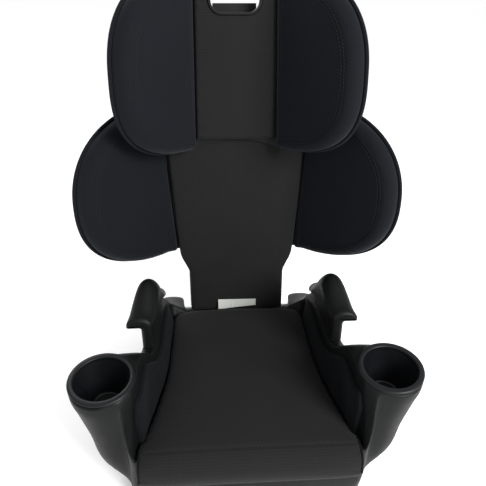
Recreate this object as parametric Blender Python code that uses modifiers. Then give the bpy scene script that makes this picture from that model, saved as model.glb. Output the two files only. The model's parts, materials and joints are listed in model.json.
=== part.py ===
"""High-back booster seat: a moulded base with armrests and two cup inserts, a hinged back, and a
headrest that slides up the back's spine. Metres, +Z up, the front faces -Y.
The origin is the centre of the base's underside."""

import math

import bmesh
import bpy
from mathutils import Matrix, Vector

MM = 0.001

# ---- driving dimensions, in millimetres -------------------------------------------------------
WALL = 3.0                      # moulded plastic wall
GAP = 0.4                       # clearance between neighbouring pieces
HINGE_Y, HINGE_Z = 200.0, 55.0  # axis on which the back tilts
BACK_LEAN = math.radians(4.0)   # the back's lean from upright at rest
CUSHION_T = 26.0                # foam and cover of the seat
POD = Vector((191.0, -140.0, 184.0))   # centre of a cup pod's deck, right side
POD_TILT = math.radians(7.0)    # the deck leans forward
POD_R = 46.0                    # outside radius of the pod at its deck
CUP_R, CUP_DEPTH = 38.0, 54.0   # cup insert: outside radius under the rim, and depth
LAYER_SHELL = (0.0, WALL)       # layers of the back and head, counted forward from the shell's rear
LAYER_FOAM = (WALL + 2.5, 19.0)
LAYER_PAD = (21.0, 31.0)
CENTRE_PAD_REAR = WALL + 2.0
SPINE_HALF_W, SPINE_T = 44.0, 15.0
SPINE_TOP = 546.0
HEAD_TRAVEL, HEAD_STEPS = 80.0, 6


# ---- small helpers ----------------------------------------------------------------------------
def clear_scene():
    for obj in list(bpy.data.objects):
        bpy.data.objects.remove(obj, do_unlink=True)


def make_collection(name):
    collection = bpy.data.collections.new(name)
    bpy.context.scene.collection.children.link(collection)
    return collection


def material(name, colour, roughness, metallic=0.0):
    mat = bpy.data.materials.new(name)
    mat.use_nodes = True
    shader = mat.node_tree.nodes["Principled BSDF"]
    shader.inputs["Base Color"].default_value = (*colour, 1.0)
    shader.inputs["Roughness"].default_value = roughness
    shader.inputs["Metallic"].default_value = metallic
    return mat


def add_object(name, mesh, mat, parent=None, smooth=True):
    """A mesh whose coordinates are millimetres in its parent's frame becomes a named object."""
    mesh.transform(Matrix.Scale(MM, 4))
    obj = bpy.data.objects.new(name, mesh)
    PARTS.objects.link(obj)
    obj.data.materials.append(mat)
    obj.parent = parent
    if smooth:
        mesh.shade_smooth()
        mesh.set_sharp_from_angle(angle=math.radians(40))
    return obj


def mesh_from(name, verts, faces):
    mesh = bpy.data.meshes.new(name)
    mesh.from_pydata([tuple(v) for v in verts], [], faces)
    mesh.update()
    return mesh


def grid_faces(rows, columns, first=0):
    """Quads of a grid whose vertices run row by row."""
    faces = []
    for r in range(rows - 1):
        for c in range(columns - 1):
            a = first + r * columns + c
            faces.append((a, a + 1, a + columns + 1, a + columns))
    return faces


def solidify(obj, thickness, offset=-1.0):
    mod = obj.modifiers.new("wall", "SOLIDIFY")
    mod.thickness = thickness * MM
    mod.offset = offset
    mod.use_even_offset = True
    return mod


def mirror(obj):
    mod = obj.modifiers.new("mirror", "MIRROR")
    mod.merge_threshold = 0.0001
    mod.use_clip = True
    return mod


def cutter(name, mesh, parent=None, matrix=None):
    mesh.transform(Matrix.Scale(MM, 4))
    obj = bpy.data.objects.new(name, mesh)
    CUTTERS.objects.link(obj)
    obj.parent = parent
    if matrix is not None:
        obj.matrix_local = matrix
    obj.hide_render = True
    obj.display_type = "WIRE"
    return obj


def boolean(obj, tool, operation="DIFFERENCE"):
    mod = obj.modifiers.new(operation.lower() + "_" + tool.name, "BOOLEAN")
    mod.operation = operation
    mod.object = tool
    return mod


def box_bmesh(low, high, bm=None):
    """A box between two corners, in millimetres, added to bm."""
    bm = bm or bmesh.new()
    low, high = Vector(low), Vector(high)
    made = bmesh.ops.create_cube(bm, size=1.0)["verts"]
    size, centre = high - low, (high + low) / 2
    for v in made:
        v.co = Vector((v.co.x * size.x, v.co.y * size.y, v.co.z * size.z)) + centre
    return bm


def cylinder_bmesh(radius, start, end, sides=16, bm=None, radius_end=None):
    """A cylinder or cone from start to end, in millimetres, added to bm."""
    bm = bm or bmesh.new()
    start, end = Vector(start), Vector(end)
    axis = end - start
    turn = axis.to_track_quat("Z", "Y").to_matrix().to_4x4()
    place = Matrix.Translation((start + end) / 2) @ turn
    bmesh.ops.create_cone(
        bm, cap_ends=True, segments=sides, radius1=radius,
        radius2=radius if radius_end is None else radius_end, depth=axis.length, matrix=place)
    return bm


def to_mesh(bm, name):
    mesh = bpy.data.meshes.new(name)
    bmesh.ops.recalc_face_normals(bm, faces=bm.faces[:])
    bm.to_mesh(mesh)
    bm.free()
    return mesh


def flipped(mesh, name):
    """A copy of a mesh mirrored to the left side, with its faces still pointing out."""
    bm = bmesh.new()
    bm.from_mesh(mesh)
    bmesh.ops.scale(bm, vec=(-1, 1, 1), verts=bm.verts[:])
    bmesh.ops.reverse_faces(bm, faces=bm.faces[:])
    other = bpy.data.meshes.new(name)
    bm.to_mesh(other)
    bm.free()
    return other


def blend(a, b, t):
    return a + (b - a) * t


def smoothstep(t):
    t = min(max(t, 0.0), 1.0)
    return t * t * (3 - 2 * t)


def catmull(points, per_span):
    """Points on a Catmull-Rom curve through the given vectors, per_span for each span."""
    out = []
    last = len(points) - 1
    for i in range(last):
        p0, p1 = points[max(i - 1, 0)], points[i]
        p2, p3 = points[i + 1], points[min(i + 2, last)]
        for k in range(per_span):
            t = k / per_span
            out.append(0.5 * (2 * p1 + (p2 - p0) * t + (2 * p0 - 5 * p1 + 4 * p2 - p3) * t * t
                              + (3 * p1 - p0 - 3 * p2 + p3) * t ** 3))
    out.append(points[last].copy())
    return out


# ---- base -------------------------------------------------------------------------------------
def pan_half_width(y):
    """Half-width of the seat pan: narrow between the armrests, wider at the front."""
    return 122.0 + 31.0 * min(max((-10.0 - y) / 185.0, 0.0), 1.0) ** 1.6


def cushion_top(y):
    return 98.0 + 14.0 * (150.0 - y) / 355.0


def pan_z(y):
    return cushion_top(y) - CUSHION_T


def deck_z(y):
    """Height of the cup pod's tilted deck."""
    return POD.z + (y - POD.y) * math.tan(POD_TILT)


def pod_rim(angle):
    """A point on the outside edge of the cup pod, angle in degrees from +X."""
    a = math.radians(angle)
    x, y = POD.x + POD_R * math.cos(a), POD.y + POD_R * math.sin(a)
    return (x, y, deck_z(y))


# Each station: rim outside (x, y, z), rim inside (x, y, z), foot of the bolster (y), underside (x, y).
# They run round the right half, from the middle of the front to the middle of the rear.
BASE_STATIONS = [
    ((0, -199, 95), (0, -190, 93), (0, -186), (0, -190)),
    ((70, -199, 95), (70, -190, 93), (70, -186), (68, -190)),
    ((140, -197, 95), (138, -188, 94), (137, -184), (134, -189)),
    ((154, -195, 97), (150, -186, 97), (147, -179), (150, -185)),
    ((161, -188, 124), (153, -178, 122), (149, -174), (158, -176)),
    ((163, -182, 158), (152, -168, 156), (148, -167), (163, -167)),
    (pod_rim(240), (150, -160, deck_z(-160)), (146, -162), (167, -160)),
    (pod_rim(275), (148, -150, deck_z(-150)), (145, -152), (171, -148)),
    (pod_rim(310), (147, -142, deck_z(-142)), (144, -142), (173, -136)),
    (pod_rim(345), (147, -132, deck_z(-132)), (143, -132), (173, -124)),
    (pod_rim(20), (147, -120, deck_z(-120)), (141, -120), (172, -111)),
    (pod_rim(55), (147, -106, deck_z(-106)), (138, -106), (170, -97)),
    ((195, -90, 184), (146, -90, 184), (135, -90), (167, -80)),
    ((170, -68, 168), (142, -70, 168), (132, -70), (164, -62)),
    ((157, -45, 148), (136, -45, 148), (128, -45), (162, -40)),
    ((156, 0, 138), (134, 0, 138), (124, 0), (161, 0)),
    ((156, 70, 137), (134, 70, 137), (123, 70), (160, 70)),
    ((157, 140, 126), (133, 134, 124), (123, 128), (160, 140)),
    ((155, 178, 94), (126, 150, 104), (118, 138), (157, 180)),
    ((135, 214, 76), (112, 152, 94), (108, 140), (133, 211)),
    ((107, 211, 74), (101, 151, 88), (98, 140), (108, 207)),
    ((99, 166, 80), (92, 150, 84), (86, 140), (101, 160)),
    ((50, 158, 82), (50, 149, 82), (46, 139), (50, 155)),
    ((0, 158, 82), (0, 149, 82), (0, 139), (0, 155)),
]


def base_profile(station):
    """Points from the underside, up the outer wall, over the rim and down to the pan's middle."""
    rim_out, rim_in, foot, under = (Vector(p) for p in station)
    height = rim_out.z
    under = Vector((under.x, under.y, 0.0))
    foot = Vector((foot.x, foot.y, pan_z(foot.y) + 3.0))
    levels = (0.3, 0.58, 0.82)
    flare = [blend(under, rim_out, share) for share in (0.56, 0.72, 0.88)]
    for point, t in zip(flare, levels):
        point.z = height * t
    edge_out = blend(rim_out, rim_in, 0.12) + Vector((0, 0, 0.5))
    edge_out_low = blend(rim_out, flare[2], 0.25)
    edge_in = blend(rim_in, rim_out, 0.12) + Vector((0, 0, 0.5))
    edge_in_low = blend(rim_in, foot, 0.14)
    middle = blend(rim_in, foot, 0.6)
    pan_edge = Vector((foot.x * 0.975, foot.y * 0.98, pan_z(foot.y * 0.98)))
    pan_mid = Vector((foot.x * 0.5, pan_edge.y * 0.96, pan_z(pan_edge.y * 0.96)))
    centre_y = pan_edge.y * 0.92
    centre = Vector((0.0, centre_y, pan_z(centre_y)))
    return [under, *flare, edge_out_low, edge_out, edge_in, edge_in_low, middle, foot, pan_edge,
            pan_mid, centre]


def build_base_shell():
    profiles = [base_profile(s) for s in BASE_STATIONS]
    columns = len(profiles[0])
    verts = [p for profile in profiles for p in profile]
    faces = [f[::-1] for f in grid_faces(len(profiles), columns)]
    mesh = mesh_from("base_shell", verts, faces)
    bm = bmesh.new()
    bm.from_mesh(mesh)
    bmesh.ops.remove_doubles(bm, verts=bm.verts[:], dist=0.05)
    bmesh.ops.recalc_face_normals(bm, faces=bm.faces[:])
    if sum(f.normal.z * f.calc_area() for f in bm.faces) < 0:
        bmesh.ops.reverse_faces(bm, faces=bm.faces[:])
    bm.to_mesh(mesh)
    bm.free()
    shell = add_object("base_shell", mesh, PLASTIC)
    mirror(shell)
    solidify(shell, WALL)
    for side, word in ((1, "right"), (-1, "left")):
        top, axis = cup_frame(side)
        hole = cylinder_bmesh(CUP_R + GAP, top + axis * 20, top - axis * 25, 32)
        boolean(shell, cutter("cup_hole_" + word, to_mesh(hole, "cup_hole")))
    rod = cylinder_bmesh(HINGE_ROD_R + GAP, (-126, HINGE_Y, HINGE_Z), (126, HINGE_Y, HINGE_Z), 16)
    rod_cut = cutter("rod_hole", to_mesh(rod, "rod_hole"))
    boolean(shell, rod_cut)
    return shell


def cup_frame(side):
    """Centre of the pod's deck and the cup's axis, on one side."""
    return (Vector((side * POD.x, POD.y, POD.z)),
            Vector((0, -math.sin(POD_TILT), math.cos(POD_TILT))))


def build_cup_insert(side, name):
    """A tapered cup with a flat rim that hangs in the pod's hole."""
    rim, wall, floor_r = CUP_R + 6.0, 2.2, 24.5
    profile = [(0.01, -CUP_DEPTH), (floor_r - 4, -CUP_DEPTH), (floor_r, -CUP_DEPTH + 4),
               (CUP_R, 0.4), (rim, 0.6), (rim + 0.8, 2.2), (rim - 0.6, 4.0), (CUP_R - 0.8, 4.0),
               (CUP_R - wall, 2.0), (floor_r - wall, -CUP_DEPTH + 5), (floor_r - 6, -CUP_DEPTH + 2.4),
               (0.01, -CUP_DEPTH + 2.4)]
    sides = 28
    bm = bmesh.new()
    rings = []
    for r, z in profile[1:-1]:
        rings.append([bm.verts.new((r * math.cos(2 * math.pi * k / sides),
                                    r * math.sin(2 * math.pi * k / sides), z))
                      for k in range(sides)])
    for lower, upper in zip(rings, rings[1:]):
        for k in range(sides):
            bm.faces.new((lower[k], lower[(k + 1) % sides], upper[(k + 1) % sides], upper[k]))
    bm.faces.new(rings[0][::-1])
    bm.faces.new(rings[-1])
    top, axis = cup_frame(side)
    turn = axis.to_track_quat("Z", "Y").to_matrix().to_4x4()
    bmesh.ops.transform(bm, matrix=Matrix.Translation(top + axis * 1.2) @ turn, verts=bm.verts[:])
    add_object(name, to_mesh(bm, name), GLOSS_PLASTIC)


RIB_T = 3.0
RIB_X = (-139.0, -93.0, -46.5, 0.0, 46.5, 93.0, 139.0)
RIB_Y = (-160.0, -107.0, -53.5, 0.0, 53.5, 107.0, 148.0)
HINGE_ROD_R = 4.0


def build_rib_frame():
    """The lattice under the pan: a wedge-topped block with a pocket between each pair of ribs."""
    def top(y):
        return pan_z(y) - WALL - 7.0
    low_y, high_y = RIB_Y[0] - RIB_T / 2, RIB_Y[-1] + RIB_T / 2
    half = RIB_X[-1] + RIB_T / 2
    bm = box_bmesh((-half, low_y, 0), (half, high_y, 10))
    for v in bm.verts:
        if v.co.z > 5:
            v.co.z = top(v.co.y)
            v.co.x *= 0.9
    frame = add_object("base_rib_frame", to_mesh(bm, "base_rib_frame"), PLASTIC, smooth=False)
    pockets = bmesh.new()
    for x0, x1 in zip(RIB_X, RIB_X[1:]):
        for y0, y1 in zip(RIB_Y, RIB_Y[1:]):
            lower = len(pockets.verts)
            box_bmesh((x0 + RIB_T / 2, y0 + RIB_T / 2, -5), (x1 - RIB_T / 2, y1 - RIB_T / 2, 110), pockets)
            pockets.verts.ensure_lookup_table()
            for v in pockets.verts[lower:]:
                if v.co.z > 50:
                    v.co.x *= 0.8625
    boolean(frame, cutter("rib_pockets", to_mesh(pockets, "rib_pockets")))


def shoulder_z(y):
    """Height just above the base's shoulder, on which the armrest stands."""
    marks = [(-60, 157.0), (-45, 148.0), (0, 138.0), (70, 137.0), (140, 126.0), (182, 104.0)]
    for (y0, z0), (y1, z1) in zip(marks, marks[1:]):
        if y <= y1:
            return blend(z0, z1, (y - y0) / (y1 - y0)) + 1.4
    return marks[-1][1] + 1.4


def arm_section(y, t):
    """The armrest's section: up the inner wall, over a rounded cap, round the lip that hangs
    outward and down the outer wall. t runs 0 to 1 along the arm, front to rear."""
    front = smoothstep(t / 0.16)
    rear = smoothstep((1 - t) / 0.55)
    deck = shoulder_z(y)
    crown = 199.0 + 27.0 * smoothstep(t / 0.4) - 76.0 * (1 - smoothstep((1 - t) / 0.62))
    outer = 176.0 - 12.0 * smoothstep(t / 0.5) - 3.0 * (1 - rear)
    inner = blend(137.0, 131.0, front)
    middle, half = (outer + inner) / 2, (outer - inner) / 2
    cap = blend(13.0, 24.0, front) * blend(0.6, 1.0, rear)
    lip_low = max(crown - cap - blend(5.0, 12.0, smoothstep(t / 0.4)) * blend(0.3, 1.0, rear), deck + 5.0)
    web_in, web_out = 136.0, 154.0
    arc = []
    for degrees in (0, 32, 62, 90, 118, 148, 180):
        a = math.radians(degrees)
        arc.append((middle - half * math.cos(a), crown - cap * (1 - math.sin(a))))
    points = [(web_in, deck), (web_in, blend(deck, crown - cap, 0.6)), *arc,
              (middle + half - 0.5, lip_low), (web_out, lip_low), (web_out, deck)]
    return [Vector((x, y, z)) for x, z in points]


ARM_FRONT, ARM_REAR = -31.0, 138.0


def build_armrest(side, name):
    """A hollow arm, open underneath where it sits on the base's shoulder."""
    stations = (0.0, 0.05, 0.14, 0.3, 0.45, 0.6, 0.75, 0.9, 1.0)
    rows = [arm_section(blend(ARM_FRONT, ARM_REAR, t), t) for t in stations]
    columns = len(rows[0])
    verts = [p for row in rows for p in row]
    faces = grid_faces(len(rows), columns)
    faces.append(tuple(range(columns))[::-1])
    faces.append(tuple(range(len(verts) - columns, len(verts))))
    mesh = mesh_from(name, verts, faces)
    bm = bmesh.new()
    bm.from_mesh(mesh)
    bmesh.ops.recalc_face_normals(bm, faces=bm.faces[:])
    mesh = bpy.data.meshes.new(name)
    bm.to_mesh(mesh)
    bm.free()
    if side < 0:
        mesh = flipped(mesh, name)
    arm = add_object(name, mesh, PLASTIC)
    solidify(arm, WALL)


def cushion_half(y):
    """Half-width of the cushion: inside the side panels, then the full width of the nose."""
    if y < -188:
        return 146.0
    return min(pan_half_width(y) - 7.5, 138.0 + 3.0 * min((y + 188) / 14.0, 1.0), 120 - (y - 120) * 0.35)


def build_cushion():
    """Foam and cover of the seat: crowned on top, with a nose that laps over the base's front rim
    and an apron that hangs in front of it."""
    def profile(share):
        drop, rise = 5.0 * share ** 4, 6.0 * share ** 8
        return [(133, pan_z(133) + 1.5 + rise), (138, pan_z(138) + 10), (137, cushion_top(137) - 5 - drop),
                (125, cushion_top(125) - drop), (60, cushion_top(60) - drop),
                (-20, cushion_top(-20) + 1 - drop), (-62, cushion_top(-62) + 1 - drop),
                (-100, cushion_top(-100) + 1 - drop), (-134, cushion_top(-134) + 1 - drop),
                (-165, cushion_top(-165) - drop), (-196, cushion_top(-196) - 3 - drop),
                (-212, cushion_top(-212) - 12 - drop), (-216, 84), (-212, 66), (-207, 60),
                (-202, 63), (-201.5, 99), (-190, 99), (-184, 99), (-180, pan_z(-180) + 1.2 + rise),
                (-134, pan_z(-134) + 1 + rise), (-100, pan_z(-100) + 1 + rise),
                (-62, pan_z(-62) + 1 + rise), (-20, pan_z(-20) + 1 + rise), (60, pan_z(60) + 1 + rise)]
    shares = (-1.0, -0.96, -0.75, -0.4, 0.0, 0.4, 0.75, 0.96, 1.0)
    rows = [[Vector((share * cushion_half(y), y, z)) for y, z in profile(abs(share))] for share in shares]
    columns = len(rows[0])
    verts = [p for row in rows for p in row]
    faces = []
    for r in range(len(rows) - 1):
        for c in range(columns):
            a, b = r * columns + c, r * columns + (c + 1) % columns
            faces.append((a, b, b + columns, a + columns))
    side = [(0, 1, 2, 3), (3, 4, 24, 0), (9, 10, 18, 19), (10, 11, 16, 17, 18), (11, 12, 13, 14, 15, 16)]
    side += [(k, k + 1, 27 - k, 28 - k) for k in range(4, 9)]
    faces += side + [tuple(len(verts) - columns + k for k in face) for face in side]
    bm = bmesh.new()
    bm.from_mesh(mesh_from("seat_cushion", verts, faces))
    add_object("seat_cushion", to_mesh(bm, "seat_cushion"), FABRIC)


def build_bolster(side, name):
    """The cover's padded side panel, lying on the inner face of the base's side."""
    rows = []
    for station in BASE_STATIONS[5:18]:
        rim_in, foot = Vector(station[1]), Vector(station[2])
        foot = Vector((foot.x, foot.y, pan_z(foot.y) + 4.0))
        rows.append([blend(foot, rim_in, t) for t in (0.02, 0.3, 0.58, 0.84)])
    columns = len(rows[0])
    verts = [p + Vector((-GAP * 2.2, 0, GAP)) for row in rows for p in row]
    mesh = mesh_from(name, verts, grid_faces(len(rows), columns))
    bm = bmesh.new()
    bm.from_mesh(mesh)
    if sum(f.normal.x * f.calc_area() for f in bm.faces) > 0:
        bmesh.ops.reverse_faces(bm, faces=bm.faces[:])
    mesh = bpy.data.meshes.new(name)
    bm.to_mesh(mesh)
    bm.free()
    if side < 0:
        mesh = flipped(mesh, name)
    panel = add_object(name, mesh, SIDE_FABRIC)
    solidify(panel, 2.2, 1.0)


def build_hinge_rod():
    bm = cylinder_bmesh(HINGE_ROD_R, (-124, HINGE_Y, HINGE_Z), (124, HINGE_Y, HINGE_Z), 16)
    add_object("hinge_rod", to_mesh(bm, "hinge_rod"), STEEL)


def build_rod_block(side, name):
    """The block inside a rear corner of the base that holds one end of the rod."""
    low, high = sorted((side * 114.0, side * 127.0))
    bm = box_bmesh((low, HINGE_Y - 12, HINGE_Z - 12), (high, HINGE_Y + 6.2, HINGE_Z + 12))
    block = add_object(name, to_mesh(bm, name), PLASTIC, smooth=False)
    bore = cylinder_bmesh(HINGE_ROD_R + 0.05, (low - 5, HINGE_Y, HINGE_Z), (high + 5, HINGE_Y, HINGE_Z), 16)
    boolean(block, cutter(name + "_bore", to_mesh(bore, "bore")))


SCREW_HEAD_R, SCREW_SHANK_R = 3.6, 1.8
SCREW_HEAD_V, SCREW_TIP_V = 1.0, -8.8
SCREW_PLACES = [(side * 30.0, w) for w in (90.0, 375.0) for side in (-1, 1)]


def build_spine_screws():
    """Pan-head screws from behind, through the spine into the back's shell."""
    rings = [(SCREW_HEAD_R * 0.7, SCREW_HEAD_V + 2.6), (SCREW_HEAD_R, SCREW_HEAD_V + 1.5),
             (SCREW_HEAD_R, SCREW_HEAD_V), (SCREW_SHANK_R, SCREW_HEAD_V), (SCREW_SHANK_R, SCREW_TIP_V)]
    sides = 10
    for number, (x, w) in enumerate(SCREW_PLACES, 1):
        bm = bmesh.new()
        loops = []
        for r, v in rings:
            loops.append([bm.verts.new((x + r * math.cos(2 * math.pi * k / sides), v,
                                        w + r * math.sin(2 * math.pi * k / sides)))
                          for k in range(sides)])
        for upper, lower in zip(loops, loops[1:]):
            for k in range(sides):
                bm.faces.new((upper[k], upper[(k + 1) % sides], lower[(k + 1) % sides], lower[k]))
        bm.faces.new(loops[0])
        bm.faces.new(loops[-1][::-1])
        name = "spine_screw_" + str(number)
        add_object(name, to_mesh(bm, name), STEEL, HINGE)


def screw_hole_cutter():
    """Clearance for the screws: a shank hole right through and a pocket for each head."""
    bm = bmesh.new()
    for x, w in SCREW_PLACES:
        cylinder_bmesh(SCREW_SHANK_R + 0.25, (x, SCREW_HEAD_V + 2, w), (x, -9.3, w), 10, bm)
    shanks = cutter("screw_shanks", to_mesh(bm, "screw_shanks"), HINGE)
    bm = bmesh.new()
    for x, w in SCREW_PLACES:
        cylinder_bmesh(SCREW_HEAD_R + 0.4, (x, SPINE_REAR + 2, w), (x, SCREW_HEAD_V - 0.3, w), 12, bm)
    return shanks, cutter("screw_pockets", to_mesh(bm, "screw_pockets"), HINGE)


# ---- back and head: curved sheets, laid out along a section and up the back -------------------
class Section:
    """A section across the back: flat in the middle, an arc, then a straight wing."""

    def __init__(self, rear, half_flat, radius, wing_deg, wing_length):
        self.rear, self.half_flat, self.radius = rear, half_flat, radius
        self.angle = math.radians(wing_deg)
        self.arc = radius * self.angle
        self.reach = half_flat + self.arc + wing_length

    def at(self, s, w, d):
        """The point at length s across, height w up and depth d forward of the rear face."""
        side, s = (1.0, s) if s >= 0 else (-1.0, -s)
        bend = min(max((s - self.half_flat) / self.radius, 0.0), self.angle)
        past = max(s - self.half_flat - self.arc, 0.0)
        x = min(s, self.half_flat) + self.radius * math.sin(bend) + past * math.cos(bend)
        v = self.rear - self.radius * (1 - math.cos(bend)) - past * math.sin(bend)
        return Vector((side * (x - d * math.sin(bend)), v - d * math.cos(bend), w))


TORSO = Section(rear=-6.0, half_flat=106.0, radius=45.0, wing_deg=53.0, wing_length=176.0)
HEAD = Section(rear=-39.0, half_flat=60.0, radius=40.0, wing_deg=55.0, wing_length=144.0)


class Wing:
    """A D-shaped wing: a straight seam on the inside and a superellipse outside."""

    def __init__(self, section, seam_low, seam_high, low, high, power, taper=0.0):
        self.section, self.seam_low, self.seam_high = section, seam_low, seam_high
        self.low, self.high, self.power, self.taper = low, high, power, taper

    def seam(self, w):
        t = (w - self.low) / (self.high - self.low)
        return blend(self.seam_low, self.seam_high, t)

    def edge(self, degrees, inset=0.0):
        """A point (s, w) of the outline, from -90 at the seam's foot to 90 at its top."""
        a = math.radians(degrees)
        middle, half = (self.low + self.high) / 2, (self.high - self.low) / 2 - inset
        w = middle + half * math.copysign(abs(math.sin(a)) ** (2 / self.power), a)
        start = self.seam(w) + inset
        reach = self.section.reach - inset - self.taper * math.sin(a)
        return (start + (reach - start) * abs(math.cos(a)) ** (2 / self.power), w)

    def grid(self, across, up, inset=0.0):
        """Rows of (s, w) filling the wing, from foot to top, seam to edge, finer near the seam."""
        shares = [(i / across) ** 1.4 for i in range(across + 1)]
        bottom = [self.edge(blend(-90, -45, u), inset) for u in shares]
        top = [self.edge(blend(90, 45, u), inset) for u in shares]
        outer = [self.edge(blend(-45, 45, j / up), inset) for j in range(up + 1)]
        inner = []
        for j in range(up + 1):
            w = blend(self.low + inset, self.high - inset, j / up)
            inner.append((self.seam(w) + inset, w))
        rows = []
        for j in range(up + 1):
            v = j / up
            row = []
            for i in range(across + 1):
                u = shares[i]
                row.append(tuple(
                    (1 - v) * bottom[i][k] + v * top[i][k] + (1 - u) * inner[j][k] + u * outer[j][k]
                    - (1 - u) * (1 - v) * bottom[0][k] - u * (1 - v) * bottom[across][k]
                    - (1 - u) * v * top[0][k] - u * v * top[across][k] for k in (0, 1)))
            rows.append(row)
        return rows


TORSO_WING = Wing(TORSO, 106.0, 142.0, 138.0, 408.0, 2.3, -2.0)
HEAD_WING = Wing(HEAD, 70.0, 63.0, 336.0, 598.0, 2.6, 12.0)


def sheet(name, section, grids, depth, thickness, mat, parent, mirrored):
    """A closed panel: grids of (s, w) become an open surface at that depth, thickened rearward."""
    bm = bmesh.new()
    for grid in grids:
        made = [[bm.verts.new(section.at(s, w, depth)) for s, w in row] for row in grid]
        for lower, upper in zip(made, made[1:]):
            for i in range(len(lower) - 1):
                bm.faces.new((lower[i], lower[i + 1], upper[i + 1], upper[i]))
    if mirrored:
        copy = bmesh.ops.duplicate(bm, geom=bm.verts[:] + bm.edges[:] + bm.faces[:])
        moved = [g for g in copy["geom"] if isinstance(g, bmesh.types.BMVert)]
        bmesh.ops.scale(bm, vec=(-1, 1, 1), verts=moved)
        bmesh.ops.reverse_faces(bm, faces=[g for g in copy["geom"] if isinstance(g, bmesh.types.BMFace)])
    bmesh.ops.remove_doubles(bm, verts=bm.verts[:], dist=0.05)
    bmesh.ops.recalc_face_normals(bm, faces=bm.faces[:])
    if sum(f.normal.y * f.calc_area() for f in bm.faces) > 0:
        bmesh.ops.reverse_faces(bm, faces=bm.faces[:])
    mesh = bpy.data.meshes.new(name)
    bm.to_mesh(mesh)
    bm.free()
    obj = add_object(name, mesh, mat, parent)
    solidify(obj, thickness)
    return obj


def mirrored_wing(grid):
    return [[(-s, w) for s, w in row] for row in grid]


def whole_width(grid):
    """A grid over the right half becomes one over both halves."""
    return [[(-s, w) for s, w in row[:0:-1]] + row for row in grid]


def slab(name, section, grid, depths, mat, parent):
    """A closed cushion lofted between the same grid at two depths: its rear and its front."""
    rows, columns = len(grid), len(grid[0])
    bm = bmesh.new()
    rear, front = ([[bm.verts.new(section.at(s, w, d)) for s, w in row] for row in grid] for d in depths)
    for r in range(rows - 1):
        for c in range(columns - 1):
            bm.faces.new((front[r][c], front[r][c + 1], front[r + 1][c + 1], front[r + 1][c]))
            bm.faces.new((rear[r][c], rear[r + 1][c], rear[r + 1][c + 1], rear[r][c + 1]))
    border = [(0, c) for c in range(columns - 1)] + [(r, columns - 1) for r in range(rows - 1)]
    border += [(rows - 1, c) for c in range(columns - 1, 0, -1)] + [(r, 0) for r in range(rows - 1, 0, -1)]
    for (r0, c0), (r1, c1) in zip(border, border[1:] + border[:1]):
        bm.faces.new((rear[r0][c0], rear[r1][c1], front[r1][c1], front[r0][c0]))
    return add_object(name, to_mesh(bm, name), mat, parent)


def centre_grid(half_width, heights, across, arch=0.0):
    """Rows of (s, w) across half the middle panel, from the middle to half_width(w). An arch
    lifts the panel's foot in the middle and fades out upward."""
    low, high = heights[0], heights[-1]
    rows = []
    for w in heights:
        lift = arch * (1 - (w - low) / (high - low))
        rows.append([(half_width(w) * i / across, w + lift * (1 - (i / across) ** 2))
                     for i in range(across + 1)])
    return rows


def torso_half(w):
    """Half-width of the back's middle panel: a narrow neck, the seam to the wings, then a tongue."""
    if w <= TORSO_WING.low:
        return blend(90.0, TORSO_WING.seam(TORSO_WING.low), smoothstep((w - 90) / (TORSO_WING.low - 90)))
    if w <= TORSO_WING.high:
        return TORSO_WING.seam(w)
    return TORSO_WING.seam(TORSO_WING.high) - 20.0 * smoothstep((w - TORSO_WING.high) / 22.0)


def head_half(w):
    return HEAD_WING.seam(w)


WING_UP, WING_ACROSS = 8, 7
BACK_FOOT, TONGUE_TOP = 12.0, 430.0


def wing_heights(wing, inset=0.0):
    return [blend(wing.low + inset, wing.high - inset, j / WING_UP) for j in range(WING_UP + 1)]


def build_back():
    frame = HINGE
    heights = [BACK_FOOT, 45.0, 90.0, 118.0, *wing_heights(TORSO_WING), TONGUE_TOP]
    middle = centre_grid(torso_half, heights, 5)
    wing = TORSO_WING.grid(WING_ACROSS, WING_UP)
    sheet("back_shell", TORSO, [middle, wing], LAYER_SHELL[1], WALL, PLASTIC, frame, True)
    foam = TORSO_WING.grid(WING_ACROSS, WING_UP, 14.0)
    pad = TORSO_WING.grid(WING_ACROSS, WING_UP, 1.0)
    for side, word in ((1, "right"), (-1, "left")):
        turned = (lambda g: g) if side > 0 else mirrored_wing
        slab("torso_foam_" + word, TORSO, turned(foam), LAYER_FOAM, FOAM, frame)
        slab("torso_pad_" + word, TORSO, turned(pad), LAYER_PAD, SIDE_FABRIC, frame)
    pad_heights = [BACK_FOOT, 45.0, 90.0, 118.0, *wing_heights(TORSO_WING), TONGUE_TOP - 6]
    centre_pad = centre_grid(lambda w: torso_half(w) - (1.5 if w <= TORSO_WING.high else 9.0), pad_heights, 5)
    slab("torso_pad_center", TORSO, whole_width(centre_pad), (CENTRE_PAD_REAR, LAYER_PAD[1]), FABRIC, frame)
    label = box_bmesh((-38, -38.4, 21), (38, -37.4, 42))
    add_object("care_label", to_mesh(label, "care_label"), LABEL, frame, smooth=False)


SPINE_REAR = 10.0               # rear face of the spine, behind the hinge axis


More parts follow.
